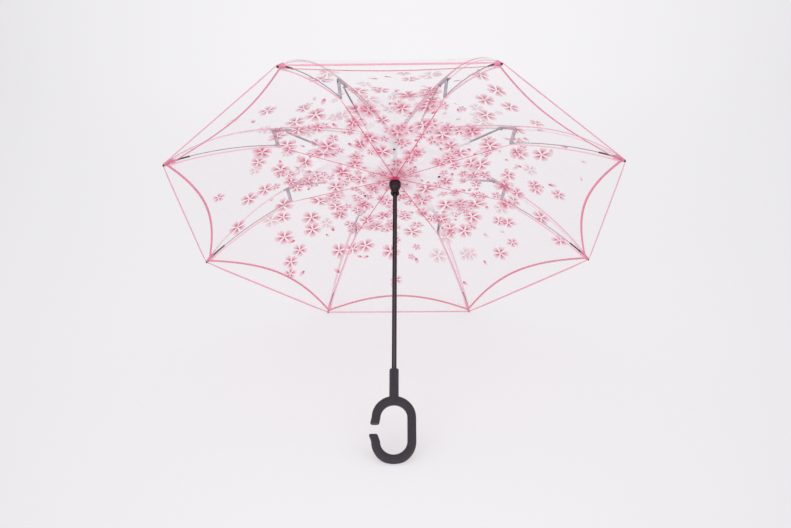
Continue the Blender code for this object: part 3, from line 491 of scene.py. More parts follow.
def wash_group():
    """The white ground under the print, and the gathered pink round the shaft."""
    tree, start, end = socket_group(
        "Ground and gathers",
        {"Vector": None, "Ground": 0.8, "Full within": 0.13, "None beyond": 0.25, "Gathers": 1.0},
        ("Ground", "Gathers"),
    )
    away = vectors("LENGTH", start["Vector"])
    ground = ramped(away, start["Full within"], start["None beyond"], 1.0, 0.0)
    streaks = noise(vectors("NORMALIZE", start["Vector"]), 9.0)
    near = ramped(away, 12 * MM, 75 * MM, 1.0, 0.0)
    streaked = times(near, ramped(streaks, 0.32, 0.62, 0.25, 1.0))
    feed(end, {
        "Ground": times(ground, start["Ground"]), "Gathers": times(streaked, start["Gathers"]),
    })
    return tree


def ready_print():
    prepared("Scattered blossoms", blossom_group)
    prepared("Scattered petals", petal_group)
    prepared("Blossom print", print_group)
    prepared("Ground and gathers", wash_group)


def film_material(name, options, strength, density, salt, ground):
    """Clear film with its print. The film's own map gives the pattern its place."""
    made, tree, shader = new_material(name)
    place = film_place(tree)
    pattern = grouped(tree, "Blossom print", {
        "Vector": place, "Strength": strength, "Density": density, "Salt": (*salt, 0.0),
    })
    wash = grouped(tree, "Ground and gathers", {"Vector": place, "Ground": ground, "Gathers": strength})
    inked = arithmetic("MAXIMUM", pattern["Cover"], wash["Gathers"])
    deepened = arithmetic("MAXIMUM", pattern["Depth"], times(wash["Gathers"], GATHER_DEPTH))
    petal = blend(deepened, options.petal_pale, options.petal_deep)
    under = blend(ramped(wash["Ground"], 0.0, 0.15), options.film, options.ground)
    bare = arithmetic("MAXIMUM", wash["Ground"], options.film_body)
    unprinted = arithmetic("SUBTRACT", 1.0, times(inked, INK_COVER))
    clear = times(arithmetic("SUBTRACT", 1.0, bare), unprinted)
    alpha = arithmetic("SUBTRACT", 1.0, clear)
    share = arithmetic("DIVIDE", inked, alpha, clamp=True)
    feed(shader.inputs, {
        "Base Color": blend(share, under, petal), "Alpha": alpha, "Roughness": 0.16,
        "Normal": bumped(noise(place, 9.0), 0.5, 1.2 * MM),
    })
    return made


def tape_material(name, pale, deep, body, near, far):
    """Translucent seam tape, deeper in colour near the shaft."""
    made, tree, shader = new_material(name)
    share = ramped(vectors("LENGTH", film_place(tree)), near, far)
    flat = ramped(share, 0.0, 1.0, 0.8, body, soft=False)
    feed(shader.inputs, {
        "Base Color": blend(share, deep, pale), "Alpha": edged(tree, flat, 0.35), "Roughness": 0.3,
    })
    return made


def hem_material(name, colour, shade, body, edge=0.6):
    """Welded band of coloured film, clearer where it is seen flat than edge on."""
    made, tree, shader = new_material(name)
    mottle = noise(object_place(tree), 90.0)
    feed(shader.inputs, {
        "Base Color": blend(ramped(mottle, 0.3, 0.7), [c * shade for c in colour], colour),
        "Alpha": edged(tree, body, edge), "Roughness": 0.35, "Normal": bumped(mottle, 0.4, 0.1 * MM),
    })
    return made


# Sheets of film

class Profile:
    """One canopy's shape: its line along a rib, and how its panels hang between ribs."""

    def __init__(self, lines, hollow, sag, hem_hangs=False):
        self.stretches = list(zip(lines, FILM_ROWS))
        self.hollow = hollow
        self.sag = sag
        self.hem_hangs = hem_hangs

    def at(self, row):
        """Place on the smooth line at a row count, and the length of film up to it."""
        left = row
        travelled = 0.0
        for line, rows in self.stretches:
            total = sum((b - a).length for a, b in zip(line, line[1:]))
            if left <= rows:
                return place_on(line, left / rows), travelled + total * left / rows
            left -= rows
            travelled += total
        return line[-1], travelled

    def film(self, rib, across, row):
        """A point of the film, and its place on the film's flat map.

        across runs from -1 to 1, between the middles of the two panels beside the rib.
        """
        share_across = abs(across) / 2
        hollow = 4 * share_across * (1 - share_across)
        row_here = row * (1 - self.hollow * hollow)
        place, film_length = self.at(row_here)
        step = 1 if across >= 0 else -1
        start, end = (Vector((*polar(rib_angle(index), place.x), place.y)) for index in (rib, rib + step))
        point = start.lerp(end, share_across)
        share = row_here / CORNER_ROW
        point.z -= (end - start).length * self.sag * hollow * 4 * share * (1 - share)
        return point, polar(math.atan2(point.y, point.x), film_length * MAP_SHARE)


def outer_profile():
    collar = [Vector(OUTER_CENTRE), Vector(OUTER_COLLAR)]
    inside = bowed(OUTER_COLLAR, OUTER_KNEE, OUTER_BOW, LINE_STEPS)
    outside = bowed(OUTER_KNEE, OUTER_CORNER, OUTER_EDGE_BOW, LINE_STEPS)
    return Profile((collar, inside, outside), hollow=0.0, sag=0.022, hem_hangs=True)


def inner_profile():
    collar = [Vector(INNER_FOOT), Vector(INNER_CENTRE)]
    inside = [Vector(INNER_CENTRE), Vector(INNER_KNEE)]
    outside = bowed(INNER_KNEE, INNER_CORNER, INNER_EDGE_BOW, LINE_STEPS)
    return Profile((collar, inside, outside), hollow=0.099, sag=0.0)


def stations(profile, row, tape_half, columns):
    """Shares across a sector at one row, with a narrow strip beside the rib for the tape."""
    radius = profile.at(row)[0].x
    strip = min(tape_half(radius) / (radius * math.sin(RIB_PITCH / 2)), TAPE_LIMIT)
    half = [strip + (1 - strip) * i / columns for i in range(columns + 1)]
    return [-share for share in reversed(half)] + half


def sheet_mesh(name, profile, rib, low, high, rows, hem, tape_half):
    """One rib's share of a canopy, from one row of its profile to another.

    hem is the width of the welded band along the free edge, or 0. tape_half gives half the
    width of the seam tape at a distance from the shaft.
    """
    shape = bmesh.new()
    layer = shape.loops.layers.uv.new("Film")
    columns = PANEL_COLUMNS
    flat = {}
    grid = []
    for i in range(rows + 1):
        row = low + (high - low) * i / rows
        line = []
        for across in stations(profile, row, tape_half, columns):
            point, place = profile.film(rib, across, row)
            vert = shape.verts.new(point)
            flat[vert] = place
            line.append(vert)
        grid.append(line)
    for i, (a, b) in enumerate(zip(grid, grid[1:])):
        for j in range(len(a) - 1):
            face = shape.faces.new((a[j], b[j], b[j + 1], a[j + 1]))
            face.smooth = True
            on_collar = low + (high - low) * (i + 1) / rows < FILM_ROWS[0] + 0.001
            face.material_index = TAPE_SLOT if j == columns or on_collar else FILM_SLOT
    if hem:
        around = [-1 + i / columns for i in range(2 * columns + 1)]
        edge = [profile.film(rib, across, high)[0] for across in around]
        if profile.hem_hangs:
            inner, edge = edge, [hung(rib, across, point, hem) for across, point in zip(around, edge)]
        else:
            inner = [profile.film(rib, across, high - hem_rows(profile, hem))[0] for across in around]
        hem_band(shape, flat, edge, inner)
    for face in shape.faces:
        for loop in face.loops:
            loop[layer].uv = flat[loop.vert]
    mesh = bpy.data.meshes.new(name)
    shape.to_mesh(mesh)
    shape.free()
    return mesh


def hem_rows(profile, width):
    """How many rows a width of film takes at the free edge."""
    last = profile.at(CORNER_ROW)[1] - profile.at(CORNER_ROW - 1)[1]
    return width / last


def hung(rib, across, point, width):
    """The lower edge of a hem that hangs from a point of the free edge, narrower at the rib."""
    middle = rib_angle(rib) + math.copysign(RIB_PITCH / 2, across)
    drop = width * (HEM_AT_RIB + (1 - HEM_AT_RIB) * smooth(abs(across) / HEM_FULL_FROM))
    return point + Vector((*polar(middle, drop * math.cos(HEM_HANG)), -drop * math.sin(HEM_HANG)))


def hem_band(shape, flat, edge, inner):
    """The thicker welded band along the free edge, wrapped round it."""
    rings = []
    for i, (outer_point, inner_point) in enumerate(zip(edge, inner)):
        along = (edge[min(i + 1, len(edge) - 1)] - edge[max(i - 1, 0)]).normalized()
        out = (outer_point - inner_point).normalized()
        normal = along.cross(out).normalized()
        if normal.z < 0:
            normal = -normal
        place = polar(math.atan2(outer_point.y, outer_point.x), HEM_MAP_REACH)
        ring = []
        for side, push, height in HEM_SECTION:
            point = (inner_point, outer_point)[side]
            vert = shape.verts.new(point + out * push * MM + normal * height * MM)
            flat[vert] = place
            ring.append(vert)
        rings.append(ring)
    faces = []
    for a, b in zip(rings, rings[1:]):
        for j in range(len(a)):
            k = (j + 1) % len(a)
            faces.append(shape.faces.new((a[j], b[j], b[k], a[k])))
    faces.append(shape.faces.new(rings[0]))
    faces.append(shape.faces.new(rings[-1][::-1]))
    bmesh.ops.recalc_face_normals(shape, faces=faces)
    for face in faces:
        face.material_index = HEM_SLOT
        face.smooth = False


def fold_with(piece):
    """Gives the piece a mesh of its own."""
    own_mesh(piece)


def canopy(side, profile, middle, rod, materials, hem, tape_half):
    """All sheets of one canopy: on each rib one up to the knee and one beyond it.

    middle names the body that carries the first, and the node that it rests on, which is not used.
    rod, the node under the second, is not used.
    """
    name = f"{side}_film"
    rings = (("middle", 0, KNEE_ROW, 20, *middle), ("edge", KNEE_ROW, CORNER_ROW, 24, "outer_rib", rod))
    for rib in range(RIB_COUNT):
        for label, low, high, rows, body, rests_on in rings:
            number = rib + 1
            has_hem = hem if label == "edge" else 0.0
            mesh = sheet_mesh(name, profile, rib, low, high, rows, has_hem, tape_half)
            piece = bpy.data.objects.new(f"{name}_{label}_{number}", mesh)
            bpy.context.scene.collection.objects.link(piece)
            for finish in materials:
                mesh.materials.append(finish)
            long = profile.at(high)[1] - profile.at(low)[1]
            wide = 2 * math.sin(RIB_PITCH / 2) * profile.at(high)[0].x
            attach(piece, f"{body}_{number}")
            fold_with(piece)
            if number == 1 and label == "middle":
                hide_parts(f"{side}_canopy")


# Sizes and colours that a user would change

def colour_setting(name, description, default):
    return bpy.props.FloatVectorProperty(
        name=name, description=description, subtype="COLOR", size=3, min=0, max=1, default=default
    )


def length_setting(name, description, default):
    return bpy.props.FloatProperty(name=name, description=description, unit="LENGTH", default=default)


def angle_setting(name, description, degrees):
    return bpy.props.FloatProperty(
        name=name, description=description, subtype="ANGLE", default=math.radians(degrees)
    )


class UmbrellaFilm(bpy.types.PropertyGroup):
    film: colour_setting("Film", "Colour of the clear film", (0.82, 0.60, 0.67))
    film_body: bpy.props.FloatProperty(
        name="Film body", description="How much one sheet of film hides", min=0, max=1, default=0.06,
        subtype="FACTOR",
    )
    ground: colour_setting("Ground", "Colour of the white ground under the print", (0.93, 0.905, 0.93))
    petal_pale: colour_setting("Pale petal", "Colour of a petal's tip", (0.86, 0.49, 0.59))
    petal_deep: colour_setting("Deep petal", "Colour at a petal's foot", (0.64, 0.05, 0.15))
    hem_outer: colour_setting("Outer hem", "Colour of the outer canopy's hem", (0.95, 0.36, 0.52))
    hem_inner: colour_setting("Inner hem", "Colour of the inner canopy's hem", (0.90, 0.30, 0.44))
    outer_hem_width: length_setting("Outer hem width", "Width of the outer canopy's hem", 4.4 * MM)
    inner_hem_width: length_setting("Inner hem width", "Width of the inner canopy's hem", 5.8 * MM)
    tape_width: length_setting("Tape width", "Width of the seam tape along each rib", 5.2 * MM)
    keep: bpy.props.FloatProperty(
        name="Folded width", description="Share of a panel's width left when folded", min=0.02, max=1,
        default=0.07, subtype="FACTOR",
    )


class UmbrellaEyelets(bpy.types.PropertyGroup):
    width: length_setting("Stud", "Width of the stud", 6.0 * MM)
    height: length_setting("Height", "Height of the stud", 1.6 * MM)
    washer: length_setting("Washer", "Width of the clear washer", 11.0 * MM)


class UmbrellaGrip(bpy.types.PropertyGroup):
    bar: length_setting("Bar", "Width of the grip's bar", 17.7 * MM)
    width: length_setting("Width", "Width of the C", 88.5 * MM)
    height: length_setting("Height", "Height of the C", 137.0 * MM)
    neck_top: length_setting("Neck top", "Height of the neck's top", 196.0 * MM)
    neck: length_setting("Neck", "Width of the neck", 19.2 * MM)
    mouth: length_setting("Mouth", "Opening between the arms' ends", 22.5 * MM)
    mouth_rise: length_setting("Mouth rise", "How far the mouth lies above the middle", 0.5 * MM)
    upper_splay: angle_setting("Upper splay", "How far the upper arm leans out", 12.0)
    lower_splay: angle_setting("Lower splay", "How far the lower arm leans out", 20.0)
    colour: colour_setting("Grip", "Colour of the soft grip", (0.038, 0.029, 0.043))


class UmbrellaStage(bpy.types.PropertyGroup):
    floor: colour_setting("Floor", "Colour of the floor and background", (0.93, 0.915, 0.935))
    sky: bpy.props.FloatProperty(name="Sky", description="Strength of the even light", min=0, default=0.98)
    key: bpy.props.FloatProperty(
        name="Key lamp", description="Power of the main lamp", unit="POWER", default=10.0
    )
    fill: bpy.props.FloatProperty(
        name="Fill lamp", description="Power of the side lamp", unit="POWER", default=6.0
    )


# Operators

PIECE_FINISHES = {
    "shaft": "shaft", "runner": "runner", "top_notch": "tip", "top_cap": "tip", "notch_wire": "wire",
    "runner_wire": "wire", "stop_pin": "wire", "upper_catch": "wire", "lower_catch": "wire",
}
RIB_PIECE_FINISHES = {
    "upper_bar": "upper_bar", "lower_bar": "bar", "knee_link": "link", "outer_rod": "pale_rod",
    "lower_rod": "rod", "rib_tip": "tip",
}
SLEEVE_COLOUR = (0.86, 0.80, 0.83)


class UMBRELLA_OT_frame(bpy.types.Operator):
    """Gives the frame's own pieces their paint, plastic and steel"""

    bl_idname = "umbrella.frame"
    bl_label = "Frame finishes"

    def execute(self, context):
        prepared("Moulded grain", grain_group)
        finishes = {
            # The shaft and the runner are painted with a sheen: lighter where they face the viewer, with
            # painted shade at their rims
            "shaft": plain_finish(
                "Shaft lacquer with painted sheen", (0.110, 0.080, 0.090), (0.102, 0.074, 0.084), 0.24, 0.02, grain=6 * MM,
                depth=0.0, painted_sheen_rim=(0.006, 0.003, 0.005),
            ),
            "runner": plain_finish(
                "Runner gloss with painted sheen", (0.042, 0.026, 0.031), (0.038, 0.023, 0.028), 0.14, 0.02, grain=6 * MM,
                depth=0.0, coat=0.2, painted_sheen_rim=(0.010, 0.005, 0.007),
            ),
            "bar": plain_finish(
                "Bar coating", (0.43, 0.42, 0.46), (0.36, 0.35, 0.39), 0.42, 0.1,
                pale=(SLEEVE_COLOUR, LOWER_SLEEVE_REACH),
            ),
            "upper_bar": plain_finish(
                "Sleeved bar", (0.42, 0.41, 0.45), (0.35, 0.34, 0.38), 0.42, 0.1,
                pale=(SLEEVE_COLOUR, SLEEVE_REACH),
            ),
            "link": plain_finish("Link nylon", (0.50, 0.50, 0.56), (0.38, 0.38, 0.44), 0.45),
            "rod": plain_finish("Rod fibre", (0.44, 0.44, 0.45), (0.36, 0.36, 0.37), 0.4, grain=0.8 * MM),
            "pale_rod": plain_finish(
                "Pale rod fibre", (0.92, 0.78, 0.83), (0.86, 0.72, 0.77), 0.35, grain=0.8 * MM
            ),
            "tip": plain_finish("Tip nylon", (0.06, 0.045, 0.05), (0.04, 0.03, 0.035), 0.4),
            "wire": plain_finish("Drawn wire", (0.5, 0.5, 0.52), (0.4, 0.4, 0.41), 0.3, metallic=1.0),
        }
        named = dict(PIECE_FINISHES)
        for number in range(1, RIB_COUNT + 1):
            named.update({f"{name}_{number}": finish for name, finish in RIB_PIECE_FINISHES.items()})
        for name, finish in named.items():
            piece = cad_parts[name]
            piece.data.materials.clear()
            piece.data.materials.append(finishes[finish])
        return {"FINISHED"}


def select_only(piece=None):
    """Leaves edit mode and selects one piece, or nothing."""
    if bpy.context.object and bpy.context.object.mode != "OBJECT":
        bpy.ops.object.mode_set(mode="OBJECT")
    bpy.ops.object.select_all(action="DESELECT")
    if piece:
        bpy.context.view_layer.objects.active = piece
        piece.select_set(True)


class UMBRELLA_OT_grip(bpy.types.Operator):
    """Models the C-shaped grip with its softened bar and its neck"""

    bl_idname = "umbrella.grip"
    bl_label = "Grip"

    def execute(self, context):
        options = context.scene.umbrella_grip
        half = options.bar / 2
        bend = options.width / 2 - half
        upper, lower = options.height - options.width / 2, options.width / 2
        mouth = (upper + lower) / 2 + options.mouth_rise
        rise, drop = upper - mouth - options.mouth / 2, mouth - options.mouth / 2 - lower
        start = -bend - rise * math.tan(options.upper_splay)
        select_only()
        bpy.ops.mesh.primitive_circle_add(
            vertices=32, radius=half, fill_type="NOTHING", location=(start, 0.0, upper - rise)
        )
        grip = context.object
        grip.name = "grip"
        bpy.ops.object.transform_apply(location=True)
        for vert in grip.data.vertices:
            soften(vert, (start, 0.0), half)
        bpy.ops.object.mode_set(mode="EDIT")
        bpy.ops.mesh.select_all(action="SELECT")
        bpy.ops.mesh.extrude_region_move(TRANSFORM_OT_translate={"value": (-bend - start, 0.0, rise)})
        bpy.ops.mesh.spin(steps=BEND_STEPS, angle=math.pi, center=(0.0, 0.0, upper), axis=(0.0, -1.0, 0.0))
        bpy.ops.mesh.extrude_region_move(TRANSFORM_OT_translate={"value": (0.0, 0.0, lower - upper)})
        bpy.ops.mesh.spin(steps=BEND_STEPS, angle=math.pi, center=(0.0, 0.0, lower), axis=(0.0, -1.0, 0.0))
        bpy.ops.mesh.extrude_region_move(
            TRANSFORM_OT_translate={"value": (-drop * math.tan(options.lower_splay), 0.0, drop)}
        )
        bpy.ops.mesh.select_all(action="SELECT")
        bpy.ops.mesh.remove_doubles(threshold=0.01 * MM)
        bpy.ops.object.mode_set(mode="OBJECT")
        cap_ends(grip)
        neck = self.neck(context, options, half)
        union = grip.modifiers.new("Neck", "BOOLEAN")
        union.operation = "UNION"
        union.solver = "EXACT"
        union.object = neck
        select_only(grip)
        bpy.ops.object.modifier_apply(modifier=union.name)
        bpy.data.objects.remove(neck, do_unlink=True)
        bpy.ops.object.shade_smooth_by_angle(angle=math.radians(38))
        prepared("Moulded grain", grain_group)
        grip.data.materials.clear()
        dark = [c * 0.85 for c in options.colour]
        finish = plain_finish("Soft grip", options.colour, dark, 0.52, 0.06, grain=0.5 * MM)
        grip.data.materials.append(finish)
        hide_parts("handle")
        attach(grip, "frame")
        return {"FINISHED"}

    def neck(self, context, options, half):
        select_only()
        foot = options.height - 1.6 * half
        bpy.ops.mesh.primitive_cylinder_add(
            vertices=48, radius=options.neck / 2, depth=options.neck_top - foot,
            location=(0.0, 0.0, (options.neck_top + foot) / 2),
        )
        neck = context.object
        bpy.ops.object.transform_apply(location=True)
        bpy.ops.object.mode_set(mode="EDIT")
        bpy.ops.mesh.select_all(action="DESELECT")
        shape = bmesh.from_edit_mesh(neck.data)
        for edge in shape.edges:
            edge.select = all(vert.co.z > options.neck_top - MM for vert in edge.verts)
        bmesh.update_edit_mesh(neck.data)
        bpy.ops.mesh.bevel(offset=NECK_EDGE, segments=4)
        bpy.ops.object.mode_set(mode="OBJECT")
        return neck


def soften(vert, centre, half):
    """Moves a point of a round section out to a square one with wide soft corners."""
    x, y = vert.co.x - centre[0], vert.co.y - centre[1]
    angle = math.atan2(y, x)
    wide = abs(math.cos(angle)) ** SECTION_POWER + abs(math.sin(angle)) ** SECTION_POWER
    reach = half / wide ** (1 / SECTION_POWER)
    vert.co.x = centre[0] + reach * math.cos(angle)
    vert.co.y = centre[1] + reach * math.sin(angle)


def cap_ends(grip):
    """Closes both ends of the bar with a flat face and a soft edge."""
    shape = bmesh.new()
    shape.from_mesh(grip.data)
    open_edges = [edge for edge in shape.edges if edge.is_boundary]
    faces = bmesh.ops.contextual_create(shape, geom=open_edges)["faces"]
    if len(faces) != 2:
        faces = bmesh.ops.holes_fill(shape, edges=open_edges, sides=0)["faces"]
    edges = list({edge for face in faces for edge in face.edges})
    bmesh.ops.bevel(shape, geom=edges, offset=END_EDGE, segments=3, profile=0.5, affect="EDGES")
    bmesh.ops.recalc_face_normals(shape, faces=shape.faces)
    shape.to_mesh(grip.data)
    shape.free()


class UMBRELLA_OT_outer_canopy(bpy.types.Operator):
    """Makes the upper canopy of clear film over the bars and rods"""

    bl_idname = "umbrella.outer_canopy"
    bl_label = "Outer canopy"

    def execute(self, context):
        options = context.scene.umbrella_film
        ready_print()
        materials = [
            film_material("Outer film", options, *OUTER_PRINT),
            tape_material("Outer tape", (0.94, 0.48, 0.61), (0.92, 0.40, 0.53), 0.62, 0.05, 0.25),
            hem_material("Outer hem", options.hem_outer, 0.92, 0.46, 0.1),
        ]
        canopy(
            "outer", outer_profile(), ("upper_bar", "upper_bar"), "outer_rod", materials,
            options.outer_hem_width, lambda radius: options.tape_width / 2,
        )
        return {"FINISHED"}


class UMBRELLA_OT_inner_canopy(bpy.types.Operator):
    """Makes the lower canopy of clear film with its hollowed hem"""

    bl_idname = "umbrella.inner_canopy"
    bl_label = "Inner canopy"

    def execute(self, context):
        options = context.scene.umbrella_film
        ready_print()

        def inner_tape(radius):
            middle = smooth((radius - INNER_KNEE[0]) / (30 * MM) + 0.5)
            corner = smooth((radius - INNER_CORNER[0]) / (40 * MM) + 1)
            return NARROW_TAPE + middle * (options.tape_width / 2 - NARROW_TAPE) + corner * 2.5 * MM

        materials = [
            film_material("Inner film", options, *INNER_PRINT),
            tape_material("Inner tape", (0.96, 0.46, 0.60), (0.78, 0.06, 0.18), 0.62, 0.22, 0.28),
            hem_material("Inner hem", options.hem_inner, 0.92, 0.62, 0.6),
        ]
        canopy(
            "inner", inner_profile(), ("lower_bar", "knee_link"), "lower_rod", materials,
            options.inner_hem_width, inner_tape,
        )
        return {"FINISHED"}


class UMBRELLA_OT_eyelets(bpy.types.Operator):
    """Sets the small black eyelets with their clear washers into the inner canopy"""

    bl_idname = "umbrella.eyelets"
    bl_label = "Eyelets"

    def execute(self, context):
        options = context.scene.umbrella_eyelets
        prepared("Moulded grain", grain_group)
        black = plain_finish("Eyelet black", (0.02, 0.018, 0.02), (0.015, 0.013, 0.015), 0.35)
        clear = plain_finish("Eyelet washer", (0.85, 0.80, 0.83), (0.80, 0.74, 0.78), 0.3)
        profile = inner_profile()
        for number, (rib, reach) in enumerate(EYELETS, start=1):
            stud = self.stud(context, options, black)
            washer = self.washer(context, options, clear)
            select_only(stud)
            washer.select_set(True)
            bpy.ops.object.join()
            stud.name = f"eyelet_{number}"
            stud.matrix_world = place_in_film(profile, rib, reach)
            bpy.ops.object.transform_apply(location=True, rotation=True, scale=True)
            bpy.ops.object.shade_smooth_by_angle(angle=math.radians(40))
            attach(stud, f"lower_bar_{rib + 1}")
            fold_with(stud)
        return {"FINISHED"}

    def stud(self, context, options, finish):
        """A flat stud through the film, with round edges."""
        select_only()
        bpy.ops.mesh.primitive_cylinder_add(vertices=28, radius=options.width / 2, depth=options.height)
        made = context.object
        bpy.ops.object.mode_set(mode="EDIT")
        bpy.ops.mesh.select_all(action="SELECT")
        bpy.ops.mesh.bevel(offset=options.height * 0.3, segments=3)
        bpy.ops.object.mode_set(mode="OBJECT")
        made.data.materials.append(finish)
        return made

    def washer(self, context, options, finish):
        """A clear ring under the stud's rim, nearly as flat as the film."""
        select_only()
        inner, outer = options.width * 0.46, options.washer / 2
        bpy.ops.mesh.primitive_torus_add(
            major_segments=28, minor_segments=8, major_radius=(inner + outer) / 2,
            minor_radius=(outer - inner) / 2,
        )
        made = context.object
        made.scale.z = options.height * 0.25 / (outer - inner)
        bpy.ops.object.transform_apply(scale=True)
        made.data.materials.append(finish)
        return made


class UMBRELLA_OT_pockets(bpy.types.Operator):
    """Welds a pocket of coloured film round the end of each rib"""

    bl_idname = "umbrella.pockets"
    bl_label = "Corner pockets"

    def execute(self, context):
        options = context.scene.umbrella_film
        finish = hem_material("Corner pocket", options.hem_outer, 0.85, 0.55)
        first = self.pocket(context, finish)
        for rib in range(RIB_COUNT):
            made = first if rib == RIB_COUNT - 1 else first.copy()
            if made is not first:
                made.data = first.data.copy()
                context.scene.collection.objects.link(made)
            made.name = f"pocket_{rib + 1}"
            select_only(made)
            made.matrix_world = Matrix.Rotation(rib_angle(rib), 4, "Z") @ self.place()
            bpy.ops.object.transform_apply(location=True, rotation=True, scale=True)
            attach(made, f"outer_rib_{rib + 1}")
        return {"FINISHED"}

    def place(self):
        """From the rod's end back along it, with X in the rib's plane towards the lower rod."""
        line = bowed(KNEE, ROD_END, OUTER_ROD_BOW, 6)
        back = (line[-2] - line[-1]).normalized()
        z_axis, y_axis = Vector((back.x, 0.0, back.y)), Vector((0.0, 1.0, 0.0))
        x_axis = y_axis.cross(z_axis)
        turn = Matrix((x_axis, y_axis, z_axis)).transposed().to_4x4()
        return Matrix.Translation((ROD_END[0], 0.0, ROD_END[1])) @ turn

    def pocket(self, context, finish):
        """A sleeve, narrow at the nose and with a mouth that takes both rods' ends."""
        select_only()
        bpy.ops.mesh.primitive_cylinder_add(
            vertices=24, radius=POCKET_RADIUS, depth=POCKET_LENGTH, end_fill_type="NOTHING",
            location=(0.0, 0.0, POCKET_LENGTH / 2),
        )
        made = context.object
        bpy.ops.object.transform_apply(location=True)
        bpy.ops.object.mode_set(mode="EDIT")
        bpy.ops.mesh.select_all(action="DESELECT")
        shape = bmesh.from_edit_mesh(made.data)
        for vert in shape.verts:
            vert.select = vert.co.z > POCKET_LENGTH / 2
        shape.select_flush(True)
        bmesh.update_edit_mesh(made.data)
        bpy.ops.transform.resize(value=POCKET_FLARE, center_override=(0.0, 0.0, POCKET_LENGTH))
        bpy.ops.transform.translate(value=POCKET_SHIFT)
        bpy.ops.object.mode_set(mode="OBJECT")
        wall = made.modifiers.new("Wall", "SOLIDIFY")
        wall.thickness = POCKET_WALL
        wall.offset = 1.0
        bpy.ops.object.modifier_apply(modifier=wall.name)
        bpy.ops.object.shade_smooth_by_angle(angle=math.radians(40))
        made.data.materials.append(finish)
        return made


def place_in_film(profile, rib, reach):
    """The place and turn on the film at a distance from the shaft, midway in the panel after a rib."""
    low, high = 1.0, CORNER_ROW
    for _ in range(40):
        row = (low + high) / 2
        point = profile.film(rib, 1.0, row)[0]
        if Vector((point.x, point.y)).length < reach:
            low = row
        else:
            high = row
    ahead = profile.film(rib, 1.0, row + 0.1)[0] - point
    across = profile.film(rib, 0.9, row)[0] - point
    normal = ahead.cross(across).normalized()
    return Matrix.Translation(point) @ normal.to_track_quat("Z", "Y").to_matrix().to_4x4()


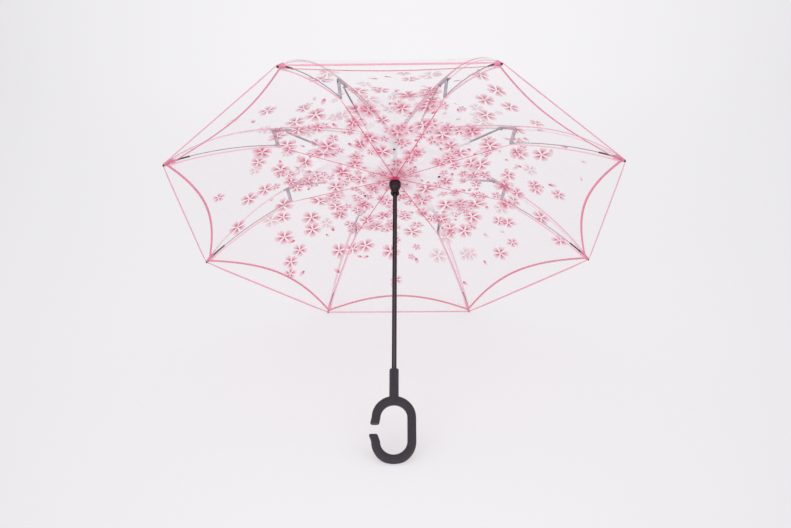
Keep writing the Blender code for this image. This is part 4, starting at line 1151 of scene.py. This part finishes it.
class UMBRELLA_OT_stage(bpy.types.Operator):
    """Sets the floor that the leaning umbrella rests on, the soft light and the camera"""

    bl_idname = "umbrella.stage"
    bl_label = "Stage"

    def execute(self, context):
        options = context.scene.umbrella_stage
        self.floor(options)
        self.world(context.scene, options)
        self.lamp("key_lamp", options.key, KEY_PLACE)
        self.lamp("fill_lamp", options.fill, FILL_PLACE)
        self.camera(context.scene)
        return {"FINISHED"}

    def floor(self, options):
        select_only()
        lean = Vector(FLOOR_UP).normalized().to_track_quat("Z", "Y")
        bpy.ops.mesh.primitive_plane_add(size=FLOOR_SIZE, location=(0.0, 0.0, 0.0), rotation=lean.to_euler())
        floor = bpy.context.object
        floor.name = "floor"
        made, tree, shader = new_material("Floor")
        # Painted pool of light: the floor's colour is painted darker away from the lamps' way
        painted_pool_colour = blend(self.pool(tree), [c * FLOOR_DIM for c in options.floor], options.floor)
        feed(shader.inputs, {"Base Color": painted_pool_colour, "Roughness": 0.9, "Specular IOR Level": 0.0})
        glow = node(tree, "Emission", Color=painted_pool_colour, Strength=1.0).outputs[0]
        seen = times(node(tree, "LightPath").outputs["Is Camera Ray"], FLOOR_GLOW)
        lit = node(tree, "MixShader", seen, shader.outputs[0], glow).outputs[0]
        back = node(tree, "NewGeometry").outputs["Backfacing"]
        clear = node(tree, "BsdfTransparent").outputs[0]
        picked = node(tree, "MixShader", back, lit, clear).outputs[0]
        feed(tree.nodes["Material Output"].inputs, {"Surface": picked})
        floor.data.materials.append(made)

    def pool(self, tree):
        """The painted pool of light in the floor's colour: it fades to both sides of the way from the lamps.
        """
        x, y, _ = node(tree, "SeparateXYZ", object_place(tree)).outputs
        far = arithmetic("ADD", y, LAMPS_BEFORE)
        aside = arithmetic("DIVIDE", x, arithmetic("MAXIMUM", far, 0.5))
        dim = times(times(aside, aside), 2.6)
        deep = ramped(far, 1.2, 9.0)
        lost = times(dim, arithmetic("ADD", times(deep, 0.7), 0.3))
        gained = arithmetic("ADD", times(deep, 0.35), 0.65)
        return arithmetic("SUBTRACT", gained, lost, clamp=True)

    def world(self, scene, options):
        world = bpy.data.worlds.new("Studio")
        scene.world = world
        world.use_nodes = True
        tree = world.node_tree
        light = tree.nodes["Background"]
        feed(light.inputs, {"Color": WHITE, "Strength": options.sky})
        room = node(tree, "Background", Color=WHITE, Strength=options.sky * ROOM_SHARE)
        backdrop = node(tree, "Background", Color=(*options.floor, 1.0), Strength=options.sky)
        ray = node(tree, "LightPath").outputs
        seen = arithmetic("MAXIMUM", ray["Is Camera Ray"], ray["Is Transmission Ray"])
        reflected = node(tree, "MixShader", ray["Is Glossy Ray"], light.outputs[0], room.outputs[0])
        mix = node(tree, "MixShader", seen, reflected.outputs[0], backdrop.outputs[0])
        feed(tree.nodes["World Output"].inputs, {"Surface": mix.outputs[0]})

    def lamp(self, name, power, place):
        data = bpy.data.lights.new(name, "AREA")
        data.energy = power
        data.shape = "DISK"
        data.size = LAMP_SIZE
        made = bpy.data.objects.new(name, data)
        bpy.context.scene.collection.objects.link(made)
        made.location = place
        aim = Vector(LAMP_AIM) - Vector(place)
        made.rotation_euler = aim.to_track_quat("-Z", "Y").to_euler()

    def camera(self, scene):
        data = bpy.data.cameras.new("camera")
        data.sensor_width = SENSOR_WIDTH
        data.lens = FOCAL_PIXELS / PHOTO_WIDTH * SENSOR_WIDTH
        made = bpy.data.objects.new("camera", data)
        scene.collection.objects.link(made)
        pitch, yaw, roll = (math.radians(degrees) for degrees in CAMERA_TURN)
        aim = Matrix.Rotation(yaw, 4, "Z") @ Matrix.Rotation(math.pi / 2 + pitch, 4, "X")
        made.matrix_world = Matrix.Translation(CAMERA_PLACE) @ (aim @ Matrix.Rotation(roll, 4, "Z"))
        scene.camera = made


class UMBRELLA_PT_panel(bpy.types.Panel):
    """Lists the umbrella's pieces in the sidebar"""

    bl_label = "Umbrella"
    bl_idname = "UMBRELLA_PT_panel"
    bl_space_type = "VIEW_3D"
    bl_region_type = "UI"
    bl_category = "Umbrella"

    def draw(self, context):
        for made in PIECES:
            self.layout.operator(made.bl_idname)
        for name in SETTINGS:
            group = getattr(context.scene, name)
            box = self.layout.box()
            for setting in group.__annotations__:
                box.prop(group, setting)


PIECES = (
    UMBRELLA_OT_stage,
    UMBRELLA_OT_frame,
    UMBRELLA_OT_grip,
    UMBRELLA_OT_outer_canopy,
    UMBRELLA_OT_inner_canopy,
    UMBRELLA_OT_eyelets,
    UMBRELLA_OT_pockets,
)
SETTINGS = {
    "umbrella_film": UmbrellaFilm,
    "umbrella_eyelets": UmbrellaEyelets,
    "umbrella_grip": UmbrellaGrip,
    "umbrella_stage": UmbrellaStage,
}
CLASSES = (*SETTINGS.values(), *PIECES, UMBRELLA_PT_panel)


def register():
    for made in CLASSES:
        bpy.utils.register_class(made)
    for name, made in SETTINGS.items():
        setattr(bpy.types.Scene, name, bpy.props.PointerProperty(type=made))


def unregister():
    for name in SETTINGS:
        delattr(bpy.types.Scene, name)
    for made in reversed(CLASSES):
        bpy.utils.unregister_class(made)


def main():
    register()
    bpy.context.scene.view_settings.view_transform = "Standard"
    for piece in PIECES:
        family, name = piece.bl_idname.split(".")
        getattr(getattr(bpy.ops, family), name)()


if __name__ == "__main__":
    main()
